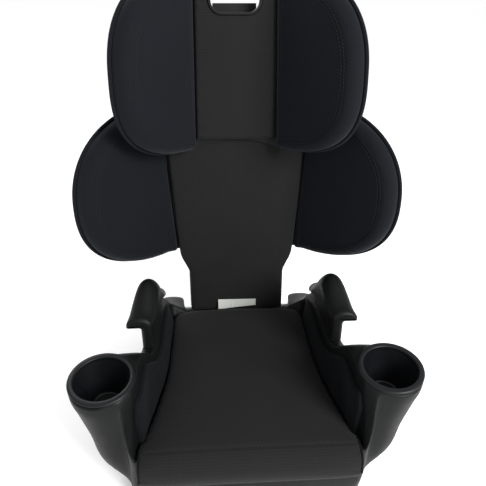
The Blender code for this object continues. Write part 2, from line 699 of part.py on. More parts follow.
def build_spine():
    """The beam behind the back: hooks on the rod, and a ladder of slots for the headrest."""
    front, rear = SPINE_REAR - SPINE_T, SPINE_REAR
    bm = box_bmesh((-SPINE_HALF_W, front, 22.0), (SPINE_HALF_W, rear, SPINE_TOP))
    spine = add_object("back_spine", to_mesh(bm, "back_spine"), PLASTIC, HINGE, smooth=False)
    for side in (1, -1):
        hook = box_bmesh((side * 30 - 9, -4.6, 0), (side * 30 + 9, 9.6, 30))
        tool = cutter("hook_arm", to_mesh(hook, "hook_arm"), HINGE)
        boolean(spine, tool, "UNION")
        ring = cylinder_bmesh(10.5, (side * 30 - 9.4, 0, 0), (side * 30 + 9.4, 0, 0), 20)
        boolean(spine, cutter("hook_ring", to_mesh(ring, "hook_ring"), HINGE), "UNION")
    bore = cylinder_bmesh(HINGE_ROD_R + GAP, (-60, 0, 0), (60, 0, 0), 16)
    boolean(spine, cutter("hook_bore", to_mesh(bore, "hook_bore"), HINGE))
    mouth = box_bmesh((-60, -3.4, -30), (60, 3.4, 0))
    boolean(spine, cutter("hook_mouth", to_mesh(mouth, "hook_mouth"), HINGE))
    slots = bmesh.new()
    for step in range(HEAD_STEPS + 1):
        w = TOOTH_W + HEAD_TRAVEL * step / HEAD_STEPS
        box_bmesh((-14, front - 5, w - SLOT_HALF), (14, front + 8, w + SLOT_HALF), slots)
    boolean(spine, cutter("rack_slots", to_mesh(slots, "rack_slots"), HINGE))
    shanks, pockets = screw_hole_cutter()
    boolean(spine, shanks)
    boolean(spine, pockets)
    boolean(bpy.data.objects["back_shell"], shanks)
    build_spine_screws()


TOOTH_W = 446.0                 # height of the latch tooth at the lowest setting
TOOTH_HALF, SLOT_HALF = 2.9, 4.7    # half the height of the tooth, and of a rack slot
LEVER_PIN_W, LEVER_PIN_V = 488.0, -18.0
CARRIAGE_LOW, CARRIAGE_HIGH = 466.0, 520.0


def build_carriage():
    """The channel that runs on the spine and carries the headrest's shell."""
    clear = 0.8
    inner, outer = SPINE_HALF_W + clear, SPINE_HALF_W + clear + 4.0
    rear, front = SPINE_REAR + clear, HEAD.rear + GAP
    bm = box_bmesh((-outer, rear, 400), (outer, rear + 4.0, CARRIAGE_HIGH))
    carriage = add_object("head_carriage", to_mesh(bm, "head_carriage"), PLASTIC, HINGE, smooth=False)
    for side in (1, -1):
        low, high = sorted((side * inner, side * outer))
        cheek = box_bmesh((low, SPINE_REAR - SPINE_T, 400), (high, rear + 2.0, CARRIAGE_HIGH - 0.5))
        boolean(carriage, cutter("cheek", to_mesh(cheek, "cheek"), HINGE), "UNION")
        low, high = sorted((side * 24.0, side * (outer - 0.5)))
        block = box_bmesh((low, front, CARRIAGE_LOW), (high, SPINE_REAR - SPINE_T - clear, CARRIAGE_HIGH - 1))
        boolean(carriage, cutter("block", to_mesh(block, "block"), HINGE), "UNION")
        tie = box_bmesh((min(side * inner, side * outer), SPINE_REAR - SPINE_T - 6.0, CARRIAGE_LOW + 0.5),
                        (max(side * inner, side * outer), SPINE_REAR - SPINE_T + 3.0, CARRIAGE_HIGH - 1.5))
        boolean(carriage, cutter("tie", to_mesh(tie, "tie"), HINGE), "UNION")
    pin = cylinder_bmesh(2.55, (-40, LEVER_PIN_V, LEVER_PIN_W), (40, LEVER_PIN_V, LEVER_PIN_W), 14)
    boolean(carriage, cutter("pin_hole", to_mesh(pin, "pin_hole"), HINGE))


def build_lever():
    """The release lever: a paddle in the hand hole, a pin through its middle, a tooth in the rack."""
    bm = box_bmesh((-14, -22, TOOTH_W - 6), (14, -17, 530))
    lever = add_object("release_lever", shifted(to_mesh(bm, "release_lever")), LEVER_PLASTIC, LEVER)
    for name, low, high in (
            ("lever_paddle", (-34, -24, 523), (34, -19, 557)),
            ("lever_boss", (-12, -24, LEVER_PIN_W - 7), (12, -12.5, LEVER_PIN_W + 7)),
            ("lever_tooth", (-11, -20, TOOTH_W - TOOTH_HALF), (11, -0.5, TOOTH_W + TOOTH_HALF))):
        tool = cutter(name, shifted(to_mesh(box_bmesh(low, high), name)), LEVER)
        boolean(lever, tool, "UNION")
    bore = cylinder_bmesh(2.6, (-40, LEVER_PIN_V, LEVER_PIN_W), (40, LEVER_PIN_V, LEVER_PIN_W), 14)
    boolean(lever, cutter("lever_bore", shifted(to_mesh(bore, "lever_bore")), LEVER))
    pin = cylinder_bmesh(2.45, (-38, LEVER_PIN_V, LEVER_PIN_W), (38, LEVER_PIN_V, LEVER_PIN_W), 14)
    add_object("lever_pin", to_mesh(pin, "lever_pin"), STEEL, HINGE)


def shifted(mesh):
    """Coordinates of the back's frame become those of the lever's own pivot."""
    mesh.transform(Matrix.Translation((0, -LEVER_PIN_V, -LEVER_PIN_W)))
    return mesh


def build_lever_spring():
    """A torsion spring round the pin, beside the lever."""
    turns, per_turn, radius, wire = 4, 10, 4.2, 0.6
    curve = bpy.data.curves.new("lever_spring", "CURVE")
    curve.dimensions = "3D"
    curve.bevel_depth = wire * MM
    curve.bevel_resolution = 2
    curve.use_fill_caps = True
    points = []
    for k in range(turns * per_turn + 1):
        a = 2 * math.pi * k / per_turn
        points.append((15.5 + 6.5 * k / (turns * per_turn), LEVER_PIN_V + radius * math.cos(a),
                       LEVER_PIN_W + radius * math.sin(a)))
    spline = curve.splines.new("POLY")
    spline.points.add(len(points) - 1)
    for point, co in zip(spline.points, points):
        point.co = (*[c * MM for c in co], 1.0)
    obj = bpy.data.objects.new("lever_spring", curve)
    PARTS.objects.link(obj)
    curve.materials.append(STEEL)
    obj.parent = HINGE


HOLE_LOW, HOLE_HIGH, HOLE_HALF = 543.0, 580.0, 38.0


def hole_cutter(name, grow):
    """The hand hole: an oval slot through the head's shell and pad."""
    bm = bmesh.new()
    middle, half_h = (HOLE_LOW + HOLE_HIGH) / 2, (HOLE_HIGH - HOLE_LOW) / 2 + grow
    straight = HOLE_HALF + grow - half_h
    outline = []
    for k in range(24):
        a = 2 * math.pi * k / 24
        x = half_h * math.cos(a) + math.copysign(straight, math.cos(a)) * (abs(math.cos(a)) > 1e-6)
        outline.append((x, middle + half_h * math.sin(a)))
    front = [bm.verts.new((x, -80, w)) for x, w in outline]
    rear = [bm.verts.new((x, -20, w)) for x, w in outline]
    for k in range(24):
        bm.faces.new((front[k], front[(k + 1) % 24], rear[(k + 1) % 24], rear[k]))
    bm.faces.new(front[::-1])
    bm.faces.new(rear)
    return cutter(name, to_mesh(bm, name), HINGE)


def build_head():
    heights = wing_heights(HEAD_WING)
    middle = centre_grid(head_half, heights, 3, 14.0)
    wing = HEAD_WING.grid(WING_ACROSS, WING_UP)
    shell = sheet("head_shell", HEAD, [middle, wing], LAYER_SHELL[1], WALL, PLASTIC, HINGE, True)
    boolean(shell, hole_cutter("hand_hole", 0.0))
    foam = HEAD_WING.grid(WING_ACROSS, WING_UP, 14.0)
    pad = HEAD_WING.grid(WING_ACROSS, WING_UP, 1.0)
    for side, word in ((1, "right"), (-1, "left")):
        turned = (lambda g: g) if side > 0 else mirrored_wing
        slab("head_foam_" + word, HEAD, turned(foam), LAYER_FOAM, FOAM, HINGE)
        slab("head_pad_" + word, HEAD, turned(pad), LAYER_PAD, SIDE_FABRIC, HINGE)
    centre_pad = centre_grid(lambda w: head_half(w) - 1.5, wing_heights(HEAD_WING, 1.0), 3, 14.0)
    pad = slab("head_pad_center", HEAD, whole_width(centre_pad), (CENTRE_PAD_REAR, 17.0), FABRIC, HINGE)
    boolean(pad, hole_cutter("pad_hole", 1.5))


def build_belt_guide(side, name):
    """A C-shaped loop behind the foot of a head wing, which holds the shoulder belt. Its outline
    is laid out behind the wing and up it, with a gap on the far side where the belt slips in."""
    outline = [(0, 0), (24, 0), (24, 22), (19, 22), (19, 6), (6, 6), (6, 56), (19, 56), (19, 32),
               (24, 32), (24, 62), (0, 62)]
    s0, w0, wide = HEAD.reach - 64.0, 364.0, 10.0
    bm = bmesh.new()
    near = [bm.verts.new(HEAD.at(side * s0, w0 + b, -GAP - a)) for a, b in outline]
    far = [bm.verts.new(HEAD.at(side * (s0 + wide), w0 + b, -GAP - a)) for a, b in outline]
    for k in range(len(outline)):
        nxt = (k + 1) % len(outline)
        bm.faces.new((near[k], near[nxt], far[nxt], far[k]))
    bm.faces.new(near[::-1])
    bm.faces.new(far)
    add_object(name, to_mesh(bm, name), LEVER_PLASTIC, HINGE, smooth=False)


# ---- assembly ---------------------------------------------------------------------------------
clear_scene()
PARTS = make_collection("booster_seat")
CUTTERS = make_collection("cutters")
PLASTIC = material("black_plastic", (0.012, 0.013, 0.013), 0.45)
GLOSS_PLASTIC = material("cup_plastic", (0.012, 0.013, 0.014), 0.35)
LEVER_PLASTIC = material("lever_plastic", (0.02, 0.02, 0.02), 0.4)
FABRIC = material("grey_fabric", (0.022, 0.021, 0.021), 0.9)
SIDE_FABRIC = material("black_fabric", (0.008, 0.009, 0.012), 0.9)
FOAM = material("white_foam", (0.75, 0.75, 0.73), 0.8)
STEEL = material("zinc_steel", (0.55, 0.55, 0.55), 0.35, 1.0)
LABEL = material("white_label", (0.6, 0.6, 0.58), 0.8)

HINGE = bpy.data.objects.new("back_hinge_axis", None)
PARTS.objects.link(HINGE)
HINGE.location = (0.0, HINGE_Y * MM, HINGE_Z * MM)
HINGE.rotation_euler = (-BACK_LEAN, 0.0, 0.0)
LEVER = bpy.data.objects.new("lever_axis", None)
PARTS.objects.link(LEVER)
LEVER.parent = HINGE
LEVER.location = (0.0, LEVER_PIN_V * MM, LEVER_PIN_W * MM)

build_base_shell()
build_rib_frame()
build_hinge_rod()
for SIDE, WORD in ((1, "right"), (-1, "left")):
    build_armrest(SIDE, "armrest_" + WORD)
    build_cup_insert(SIDE, "cup_insert_" + WORD)
    build_bolster(SIDE, "side_bolster_" + WORD)
    build_rod_block(SIDE, "rod_block_" + WORD)
    build_belt_guide(SIDE, "belt_guide_" + WORD)
build_cushion()
build_back()
build_spine()
build_head()
build_carriage()
build_lever()
build_lever_spring()
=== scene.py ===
"""The looks of a high-back booster seat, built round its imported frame: fabric-covered foam pads,
moulded shells, cup holders, a soft studio, and a camera in front that looks down at the seat."""

import json
import math

import bmesh
import bpy
import numpy as np
from mathutils import Matrix, Vector, noise

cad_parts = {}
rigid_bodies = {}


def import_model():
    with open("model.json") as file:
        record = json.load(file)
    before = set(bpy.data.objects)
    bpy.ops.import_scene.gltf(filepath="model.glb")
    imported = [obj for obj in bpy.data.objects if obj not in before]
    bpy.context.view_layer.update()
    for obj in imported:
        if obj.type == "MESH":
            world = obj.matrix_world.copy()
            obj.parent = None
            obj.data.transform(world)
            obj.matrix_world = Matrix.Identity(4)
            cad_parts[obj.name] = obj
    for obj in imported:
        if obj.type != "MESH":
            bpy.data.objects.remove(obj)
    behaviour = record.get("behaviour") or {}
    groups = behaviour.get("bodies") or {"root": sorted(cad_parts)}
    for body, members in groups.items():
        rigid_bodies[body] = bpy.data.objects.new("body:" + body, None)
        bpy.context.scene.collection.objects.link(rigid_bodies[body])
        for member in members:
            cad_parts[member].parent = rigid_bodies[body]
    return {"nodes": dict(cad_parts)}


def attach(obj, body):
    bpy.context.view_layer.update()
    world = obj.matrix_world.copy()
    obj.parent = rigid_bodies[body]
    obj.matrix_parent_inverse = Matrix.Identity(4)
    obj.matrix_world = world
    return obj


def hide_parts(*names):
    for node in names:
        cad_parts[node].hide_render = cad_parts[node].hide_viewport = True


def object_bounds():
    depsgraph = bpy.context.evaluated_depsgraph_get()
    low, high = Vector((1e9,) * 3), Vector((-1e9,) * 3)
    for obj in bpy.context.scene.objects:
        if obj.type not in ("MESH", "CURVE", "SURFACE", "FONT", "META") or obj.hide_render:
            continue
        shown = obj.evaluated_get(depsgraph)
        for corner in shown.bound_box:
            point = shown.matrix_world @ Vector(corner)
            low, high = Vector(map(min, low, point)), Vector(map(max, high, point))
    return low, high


MM = 0.001

# ---- the frame's driving dimensions, in millimetres ----
WALL = 3.0
HINGE_Y, HINGE_Z = 200.0, 55.0
HINGE_ROD_R, ROD_CUT = 4.0, 126.0
BACK_LEAN = math.radians(4.0)
CUSHION_T = 26.0
POD = Vector((191.0, -140.0, 184.0))
POD_TILT = math.radians(7.0)
POD_R = 46.0
CUP_R, CUP_DEPTH = 38.0, 54.0
PAD_FRONT = 31.0
HEAD_PAD_FRONT = 17.0
GAP = 0.4
SIDES = ((1, "right"), (-1, "left"))
SHARP_ANGLE, SOFT_ANGLE = 40, 60    # degrees above which an edge is sharp, on mouldings and on cloth

for leftover in list(bpy.data.objects):
    bpy.data.objects.remove(leftover, do_unlink=True)
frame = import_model()
cad_low, cad_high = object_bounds()


# ---- helpers ----
def blend(a, b, t):
    return a + (b - a) * t


def smoothstep(t):
    t = min(max(t, 0.0), 1.0)
    return t * t * (3 - 2 * t)


def eased(count):
    """Shares from 0 to 1 that lie closer together at both ends."""
    return [0.5 - 0.5 * math.cos(math.pi * k / count) for k in range(count + 1)]


def catmull(points, per_span, before=None, after=None):
    """Rows on a Catmull-Rom curve through the rows of an array, per_span to each span."""
    points = np.asarray(points, float)
    before = points[0] if before is None else before
    after = points[-1] if after is None else after
    padded = np.concatenate([[before], points, [after]])
    rows = []
    for i in range(len(points) - 1):
        p0, p1, p2, p3 = padded[i:i + 4]
        for k in range(per_span):
            t = k / per_span
            rows.append(0.5 * (2 * p1 + (p2 - p0) * t + (2 * p0 - 5 * p1 + 4 * p2 - p3) * t * t
                               + (3 * p1 - p0 - 3 * p2 + p3) * t ** 3))
    rows.append(points[-1])
    return np.array(rows)


BACK_PLACE = (Matrix.Translation((0, HINGE_Y * MM, HINGE_Z * MM))
              @ Matrix.Rotation(-BACK_LEAN, 4, "X") @ Matrix.Scale(MM, 4))
BASE_PLACE = Matrix.Scale(MM, 4)
PLACES = {"base": BASE_PLACE, "back": BACK_PLACE, "headrest": BACK_PLACE}


def add_object(name, data):
    obj = bpy.data.objects.new(name, data)
    bpy.context.scene.collection.objects.link(obj)
    return obj


def make_piece(name, bm, mat, body, replaced=(), sharp=SHARP_ANGLE, place=None):
    """A bmesh in millimetres becomes a piece that rides on a body, in that body's own axes."""
    mesh = bpy.data.meshes.new(name)
    bm.normal_update()
    bm.to_mesh(mesh)
    bm.free()
    mesh.transform(place or PLACES[body])
    mesh.shade_smooth()
    mesh.set_sharp_from_angle(angle=math.radians(sharp))
    obj = add_object(name, mesh)
    mesh.materials.append(mat)
    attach(obj, body)
    if replaced:
        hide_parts(*replaced)
    return obj


def apply_modifiers(obj):
    """Bakes an object's modifiers into its mesh."""
    graph = bpy.context.evaluated_depsgraph_get()
    graph.update()
    made = bpy.data.meshes.new_from_object(obj.evaluated_get(graph))
    obj.modifiers.clear()
    obj.data = made
    made.shade_smooth()
    made.set_sharp_from_angle(angle=math.radians(SHARP_ANGLE))


def thicken(obj, thickness):
    """Gives a surface a wall behind it, in millimetres."""
    wall = obj.modifiers.new("wall", "SOLIDIFY")
    wall.thickness = thickness * MM
    wall.offset = -1.0
    apply_modifiers(obj)


def cut(obj, bm, place):
    """Cuts a closed bmesh in millimetres out of an object."""
    mesh = bpy.data.meshes.new("cutter")
    face_outward(bm)
    bm.to_mesh(mesh)
    bm.free()
    mesh.transform(place)
    tool = add_object("cutter", mesh)
    tool.hide_render = True
    mod = obj.modifiers.new("cut", "BOOLEAN")
    mod.object = tool
    mod.operation = "DIFFERENCE"
    apply_modifiers(obj)
    bpy.data.objects.remove(tool, do_unlink=True)


def face_outward(bm):
    bmesh.ops.recalc_face_normals(bm, faces=bm.faces[:])


def weld(bm, distance):
    bmesh.ops.remove_doubles(bm, verts=bm.verts[:], dist=distance)
    face_outward(bm)


def face_along(bm, direction):
    """Turns an open surface over if it faces mostly against a direction."""
    if sum(f.normal.dot(direction) * f.calc_area() for f in bm.faces) < 0:
        bmesh.ops.reverse_faces(bm, faces=bm.faces[:])


def cylinder(bm, radius, start, end, sides):
    start, end = Vector(start), Vector(end)
    axis = end - start
    turn = axis.to_track_quat("Z", "Y").to_matrix().to_4x4()
    bmesh.ops.create_cone(bm, cap_ends=True, segments=sides, radius1=radius, radius2=radius,
                          depth=axis.length, matrix=Matrix.Translation((start + end) / 2) @ turn)


def grid_mesh(bm, points, uvs=None, closed_columns=False):
    """Adds a grid of points, rows by columns, with real-size UVs in metres."""
    layer = bm.loops.layers.uv.get("weave") or bm.loops.layers.uv.new("weave")
    rows, columns = len(points), len(points[0])
    verts = [[bm.verts.new(p) for p in row] for row in points]
    last = columns if closed_columns else columns - 1
    for r in range(rows - 1):
        for c in range(last):
            n = (c + 1) % columns
            face = bm.faces.new((verts[r][c], verts[r][n], verts[r + 1][n], verts[r + 1][c]))
            if uvs is not None:
                corners = ((r, c), (r, c + 1), (r + 1, c + 1), (r + 1, c))
                for loop, (i, j) in zip(face.loops, corners):
                    loop[layer].uv = uvs[i][j]
    return verts


def full_turn(count):
    return [2 * math.pi * k / count for k in range(count)]


def ring(bm, centre, first, second, sides):
    """A ring of vertices on the ellipse with two given half-axes."""
    return [bm.verts.new(centre + math.cos(a) * first + math.sin(a) * second) for a in full_turn(sides)]


def join_rings(bm, rings, closed=False):
    """Faces from ring to ring, capped at both ends unless the last ring joins the first."""
    count = len(rings[0])
    for lower, upper in zip(rings, rings[1:] + (rings[:1] if closed else [])):
        for j in range(count):
            n = (j + 1) % count
            bm.faces.new((lower[j], lower[n], upper[n], upper[j]))
    if not closed:
        bm.faces.new(rings[0][::-1])
        bm.faces.new(rings[-1])


def sweep(bm, path, radius, sides=8, closed=False, stretch=1.0):
    """A tube along a path of points. stretch widens it along the depth of the seat."""
    path = [Vector(p) for p in path]
    count = len(path)
    rings = []
    for k, point in enumerate(path):
        ahead = path[(k + 1) % count] if closed or k < count - 1 else point
        behind = path[k - 1] if closed or k > 0 else point
        tangent = (ahead - behind).normalized()
        side = tangent.cross(Vector((0, 1, 0))).normalized()
        other = side.cross(tangent)
        rings.append(ring(bm, point, radius * side, radius * stretch * other, sides))
    join_rings(bm, rings, closed)


STITCH_LENGTH, STITCH_GAP, THREAD_R, THREAD_SIDES = 3.4, 1.7, 0.42, 6
STITCH_SHAPE = ((-0.5, 0.35), (-0.3, 1.0), (0.3, 1.0), (0.5, 0.35))    # shares of length and radius


def stitch_row(bm, path, normals):
    """Short thread bars laid along a path, a little proud of the cloth."""
    path, normals = [Vector(p) for p in path], [Vector(n) for n in normals]
    travelled, next_start = 0.0, STITCH_GAP
    for a, b, normal in zip(path, path[1:], normals):
        span = (b - a).length
        if span < 1e-6:
            continue
        along = (b - a) / span
        while next_start + STITCH_LENGTH <= travelled + span:
            middle = a + along * (next_start - travelled + STITCH_LENGTH / 2)
            side = along.cross(normal).normalized()
            rings = []
            for share, size in STITCH_SHAPE:
                radius = THREAD_R * size
                centre = middle + along * share * STITCH_LENGTH + normal * (0.25 * radius)
                rings.append(ring(bm, centre, radius * side, radius * normal, THREAD_SIDES))
            join_rings(bm, rings)
            next_start += STITCH_LENGTH + STITCH_GAP
        travelled += span
        next_start = max(next_start, travelled - STITCH_LENGTH)


# ---- materials ----
class Look:
    """A material being built, with short ways to add its nodes and join them."""

    def __init__(self, name, roughness, metallic=0.0):
        self.material = bpy.data.materials.new(name)
        self.material.use_nodes = True
        self.tree = self.material.node_tree
        self.shader = self.tree.nodes["Principled BSDF"]
        self.set("Roughness", roughness)
        self.set("Metallic", metallic)
        self.place = None

    def set(self, name, value):
        """A shader socket takes a plain value, a colour, or a link from another node."""
        self.feed(self.shader.inputs[name], value)

    def feed(self, socket, value):
        if isinstance(value, bpy.types.NodeSocket):
            self.tree.links.new(value, socket)
        else:
            socket.default_value = (*value, 1.0) if isinstance(value, tuple) else value

    def node(self, kind, **values):
        node = self.tree.nodes.new("ShaderNode" + kind)
        for key, value in values.items():
            if key in node.inputs:
                self.feed(node.inputs[key], value)
            else:
                setattr(node, key, value)
        return node

    def texture(self, kind, output, **values):
        """A texture over the piece's own coordinates, in metres."""
        if self.place is None:
            self.place = self.node("TexCoord").outputs["Object"]
        return self.node(kind, Vector=self.place, **values).outputs[output]

    def math(self, operation, a, b=None, clamp=False):
        node = self.node("Math", operation=operation, use_clamp=clamp)
        self.feed(node.inputs[0], a)
        if b is not None:
            self.feed(node.inputs[1], b)
        return node.outputs[0]

    def add(self, a, b, clamp=False):
        return self.math("ADD", a, b, clamp)

    def times(self, a, b, clamp=False):
        return self.math("MULTIPLY", a, b, clamp)

    def sine(self, a):
        return self.math("SINE", a)

    def map_range(self, value, ends):
        return self.node("MapRange", Value=value, **ends).outputs["Result"]

    def colours(self, factor, first, second):
        node = self.node("Mix", data_type="RGBA")
        for index, value in ((0, factor), (6, first), (7, second)):
            self.feed(node.inputs[index], value)
        self.set("Base Color", node.outputs[2])

    def bump(self, height, strength, depth, under=None):
        node = self.node("Bump", Strength=strength, Distance=depth, Height=height)
        if under is not None:
            self.feed(node.inputs["Normal"], under)
        self.set("Normal", node.outputs["Normal"])
        return node.outputs["Normal"]


def fabric(name, base, light, pitch_mm, open_mesh, sheen, sheen_tint):
    """Knitted cloth. pitch_mm is the knit's repeat; open_mesh sinks a hollow in each cell."""
    look = Look(name, 0.92)
    weave_uv = look.node("UVMap", uv_map="weave").outputs["UV"]
    split = look.node("SeparateXYZ", Vector=weave_uv)
    turns = 2 * math.pi / (pitch_mm * MM)
    u, v = (look.times(split.outputs[k], turns) for k in (0, 1))
    if open_mesh:
        ridge = look.add(look.sine(u), look.sine(look.times(v, 0.6)))
        cross = look.sine(look.add(look.times(u, 0.5), look.times(v, 0.3)))
        weave = look.times(look.add(ridge, cross), 0.33)
    else:
        loops = look.sine(look.times(v, 2.0))
        weave = look.times(look.add(look.sine(look.add(u, v)), look.times(loops, 0.5)), 0.5)
    height = look.add(look.times(weave, 0.5), 0.5, True)
    fuzz = look.texture("TexNoise", "Fac", Scale=900.0, Detail=3.0, Roughness=0.7)
    patches = look.texture("TexNoise", "Fac", Scale=14.0, Detail=4.0, Roughness=0.55)
    tone = look.add(look.times(height, 0.55), look.times(fuzz, 0.3))
    look.colours(look.add(tone, look.times(patches, 0.25), True), base, light)
    look.set("Roughness", look.map_range(patches, {"To Min": 0.82, "To Max": 0.98}))
    look.set("Sheen Weight", sheen)
    look.set("Sheen Roughness", 0.42)
    look.set("Sheen Tint", sheen_tint)
    look.set("Specular IOR Level", 0.12)
    knit = look.bump(height, 0.55, 0.0004)
    look.bump(fuzz, 0.35, 0.0006, knit)
    return look.material


def plastic(name, base, worn, roughness, grain=0.22, gloss=0.14):
    """Moulded plastic: a fine grain, slow changes of gloss, and edges rubbed a little paler."""
    look = Look(name, roughness)
    look.set("Specular IOR Level", gloss)
    pebble = look.texture("TexVoronoi", "Distance", Scale=1500.0)
    clouds = look.texture("TexNoise", "Fac", Scale=22.0, Detail=5.0, Roughness=0.6)
    scuffs = look.texture("TexNoise", "Fac", Scale=160.0, Detail=6.0, Roughness=0.75)
    edge = look.map_range(look.node("NewGeometry").outputs["Pointiness"],
                          {"From Min": 0.54, "From Max": 0.68})
    wear = look.times(edge, scuffs, True)
    look.colours(look.add(wear, look.times(clouds, 0.16), True), base, worn)
    look.set("Roughness", look.map_range(clouds, {"From Min": 0.3, "From Max": 0.7,
                                                  "To Min": roughness - 0.06, "To Max": roughness + 0.1}))
    look.bump(pebble, grain, 0.0002)
    return look.material


def steel_material():
    look = Look("zinc_steel", 0.34, 1.0)
    streaks = look.texture("TexNoise", "Fac", Scale=240.0, Detail=4.0)
    look.colours(streaks, (0.42, 0.42, 0.43), (0.62, 0.62, 0.61))
    look.bump(streaks, 0.12, 0.0002)
    return look.material


def label_material():
    look = Look("label_tape", 0.85)
    weave_uv = look.node("UVMap", uv_map="weave").outputs["UV"]
    ribs = look.node("TexWave", Scale=500.0, bands_direction="Y", Vector=weave_uv).outputs["Fac"]
    look.colours(ribs, (0.42, 0.43, 0.41), (0.52, 0.53, 0.5))
    look.bump(ribs, 0.3, 0.0003)
    return look.material


SHELL_PLASTIC = plastic("shell_plastic", (0.0026, 0.0030, 0.0030), (0.0125, 0.0132, 0.013), 0.48)
CUP_PLASTIC = plastic("cup_plastic", (0.0024, 0.0029, 0.0038), (0.014, 0.015, 0.015), 0.4, 0.12, 0.22)
LEVER_PLASTIC = plastic("lever_plastic", (0.006, 0.006, 0.006), (0.02, 0.02, 0.02), 0.42)
GREY_FABRIC = fabric("grey_fabric", (0.0042, 0.0041, 0.0044), (0.0160, 0.0156, 0.0160), 2.4, True,
                     0.05, (0.95, 0.97, 1.0))
DARK_FABRIC = fabric("dark_fabric", (0.0016, 0.0021, 0.0034), (0.0062, 0.0074, 0.0100), 1.7, False,
                     0.06, (0.82, 0.9, 1.0))
SIDE_FABRIC = fabric("side_fabric", (0.0008, 0.0010, 0.0015), (0.0026, 0.0031, 0.0042), 1.7, False,
                     0.02, (0.82, 0.9, 1.0))
THREAD = plastic("sewing_thread", (0.012, 0.012, 0.013), (0.03, 0.03, 0.032), 0.6, 0.1)
STEEL = steel_material()
LABEL = label_material()


# ---- the base ----
PAN_HALF, PAN_FLARE, FLARE_FROM, FLARE_RUN, FLARE_POWER = 122.0, 31.0, -10.0, 185.0, 1.6
SEAT_REAR, SEAT_REAR_Z, SEAT_RISE, SEAT_RUN = 150.0, 98.0, 14.0, 355.0


def pan_half_width(y):
    return PAN_HALF + PAN_FLARE * min(max((FLARE_FROM - y) / FLARE_RUN, 0.0), 1.0) ** FLARE_POWER


def cushion_top(y):
    return SEAT_REAR_Z + SEAT_RISE * (SEAT_REAR - y) / SEAT_RUN


def pan_z(y):
    return cushion_top(y) - CUSHION_T


def deck_z(y):
    return POD.z + (y - POD.y) * math.tan(POD_TILT)


def pod_rim(angle):
    a = math.radians(angle)
    x, y = POD.x + POD_R * math.cos(a), POD.y + POD_R * math.sin(a)
    return (x, y, deck_z(y))


# Rim outside, rim inside, foot of the inner side and underside, round the right half from the middle
# of the front to the middle of the rear.
BASE_STATIONS = [
    ((0, -199, 95), (0, -190, 93), (0, -186), (0, -190)),
    ((70, -199, 95), (70, -190, 93), (70, -186), (68, -190)),
    ((140, -197, 95), (138, -188, 94), (137, -184), (134, -189)),
    ((154, -195, 97), (150, -186, 97), (147, -179), (150, -185)),
    ((161, -188, 124), (153, -178, 122), (149, -174), (158, -176)),
    ((163, -182, 158), (152, -168, 156), (148, -167), (163, -167)),
    (pod_rim(240), (150, -160, deck_z(-160)), (146, -162), (167, -160)),
    (pod_rim(275), (148, -150, deck_z(-150)), (145, -152), (171, -148)),
    (pod_rim(310), (147, -142, deck_z(-142)), (144, -142), (173, -136)),
    (pod_rim(345), (147, -132, deck_z(-132)), (143, -132), (173, -124)),
    (pod_rim(20), (147, -120, deck_z(-120)), (141, -120), (172, -111)),
    (pod_rim(55), (147, -106, deck_z(-106)), (138, -106), (170, -97)),
    ((195, -90, 184), (146, -90, 184), (135, -90), (167, -80)),
    ((170, -68, 168), (142, -70, 168), (132, -70), (164, -62)),
    ((157, -45, 148), (136, -45, 148), (128, -45), (162, -40)),
    ((156, 0, 138), (134, 0, 138), (124, 0), (161, 0)),
    ((156, 70, 137), (134, 70, 137), (123, 70), (160, 70)),
    ((157, 140, 126), (133, 134, 124), (123, 128), (160, 140)),
    ((155, 178, 94), (126, 150, 104), (118, 138), (157, 180)),
    ((135, 214, 76), (112, 152, 94), (108, 140), (133, 211)),
    ((107, 211, 74), (101, 151, 88), (98, 140), (108, 207)),
    ((99, 166, 80), (92, 150, 84), (86, 140), (101, 160)),
    ((50, 158, 82), (50, 149, 82), (46, 139), (50, 155)),
    ((0, 158, 82), (0, 149, 82), (0, 139), (0, 155)),
]
RIM_COLUMN, FOOT_COLUMN = 7, 9
FLARE = ((0.3, 0.56), (0.58, 0.72), (0.82, 0.88))    # shares of the wall's height and of its reach


def base_profile(station):
    """The wall from the underside up and over the rim, then down inside to the pan's middle."""
    rim_out, rim_in, foot, under = (Vector(p) for p in station)
    under = Vector((under.x, under.y, 0.0))
    foot = Vector((foot.x, foot.y, pan_z(foot.y) + 3.0))
    flare = [blend(under, rim_out, reach) for _, reach in FLARE]
    for point, (level, _) in zip(flare, FLARE):
        point.z = rim_out.z * level
    edge_out = blend(rim_out, rim_in, 0.12) + Vector((0, 0, 0.5))
    edge_out_low = blend(rim_out, flare[2], 0.25)
    edge_in = blend(rim_in, rim_out, 0.12) + Vector((0, 0, 0.5))
    edge_in_low = blend(rim_in, foot, 0.14)
    middle = blend(rim_in, foot, 0.6)
    pan_edge = Vector((foot.x * 0.975, foot.y * 0.98, pan_z(foot.y * 0.98)))
    pan_mid = Vector((foot.x * 0.5, pan_edge.y * 0.96, pan_z(pan_edge.y * 0.96)))
    centre_y = pan_edge.y * 0.92
    centre = Vector((0.0, centre_y, pan_z(centre_y)))
    return [under, *flare, edge_out_low, edge_out, edge_in, edge_in_low, middle, foot, pan_edge,
            pan_mid, centre]


def base_surface(per_station, per_row):
    """The base's outer surface on its right half, as rows round the rim by columns of profile."""
    profiles = np.array([[tuple(p) for p in base_profile(s)] for s in BASE_STATIONS])
    mirror = np.array((-1.0, 1.0, 1.0))
    rows = catmull(profiles, per_station, profiles[1] * mirror, profiles[-2] * mirror)
    return np.array([catmull(row, per_row) for row in rows])


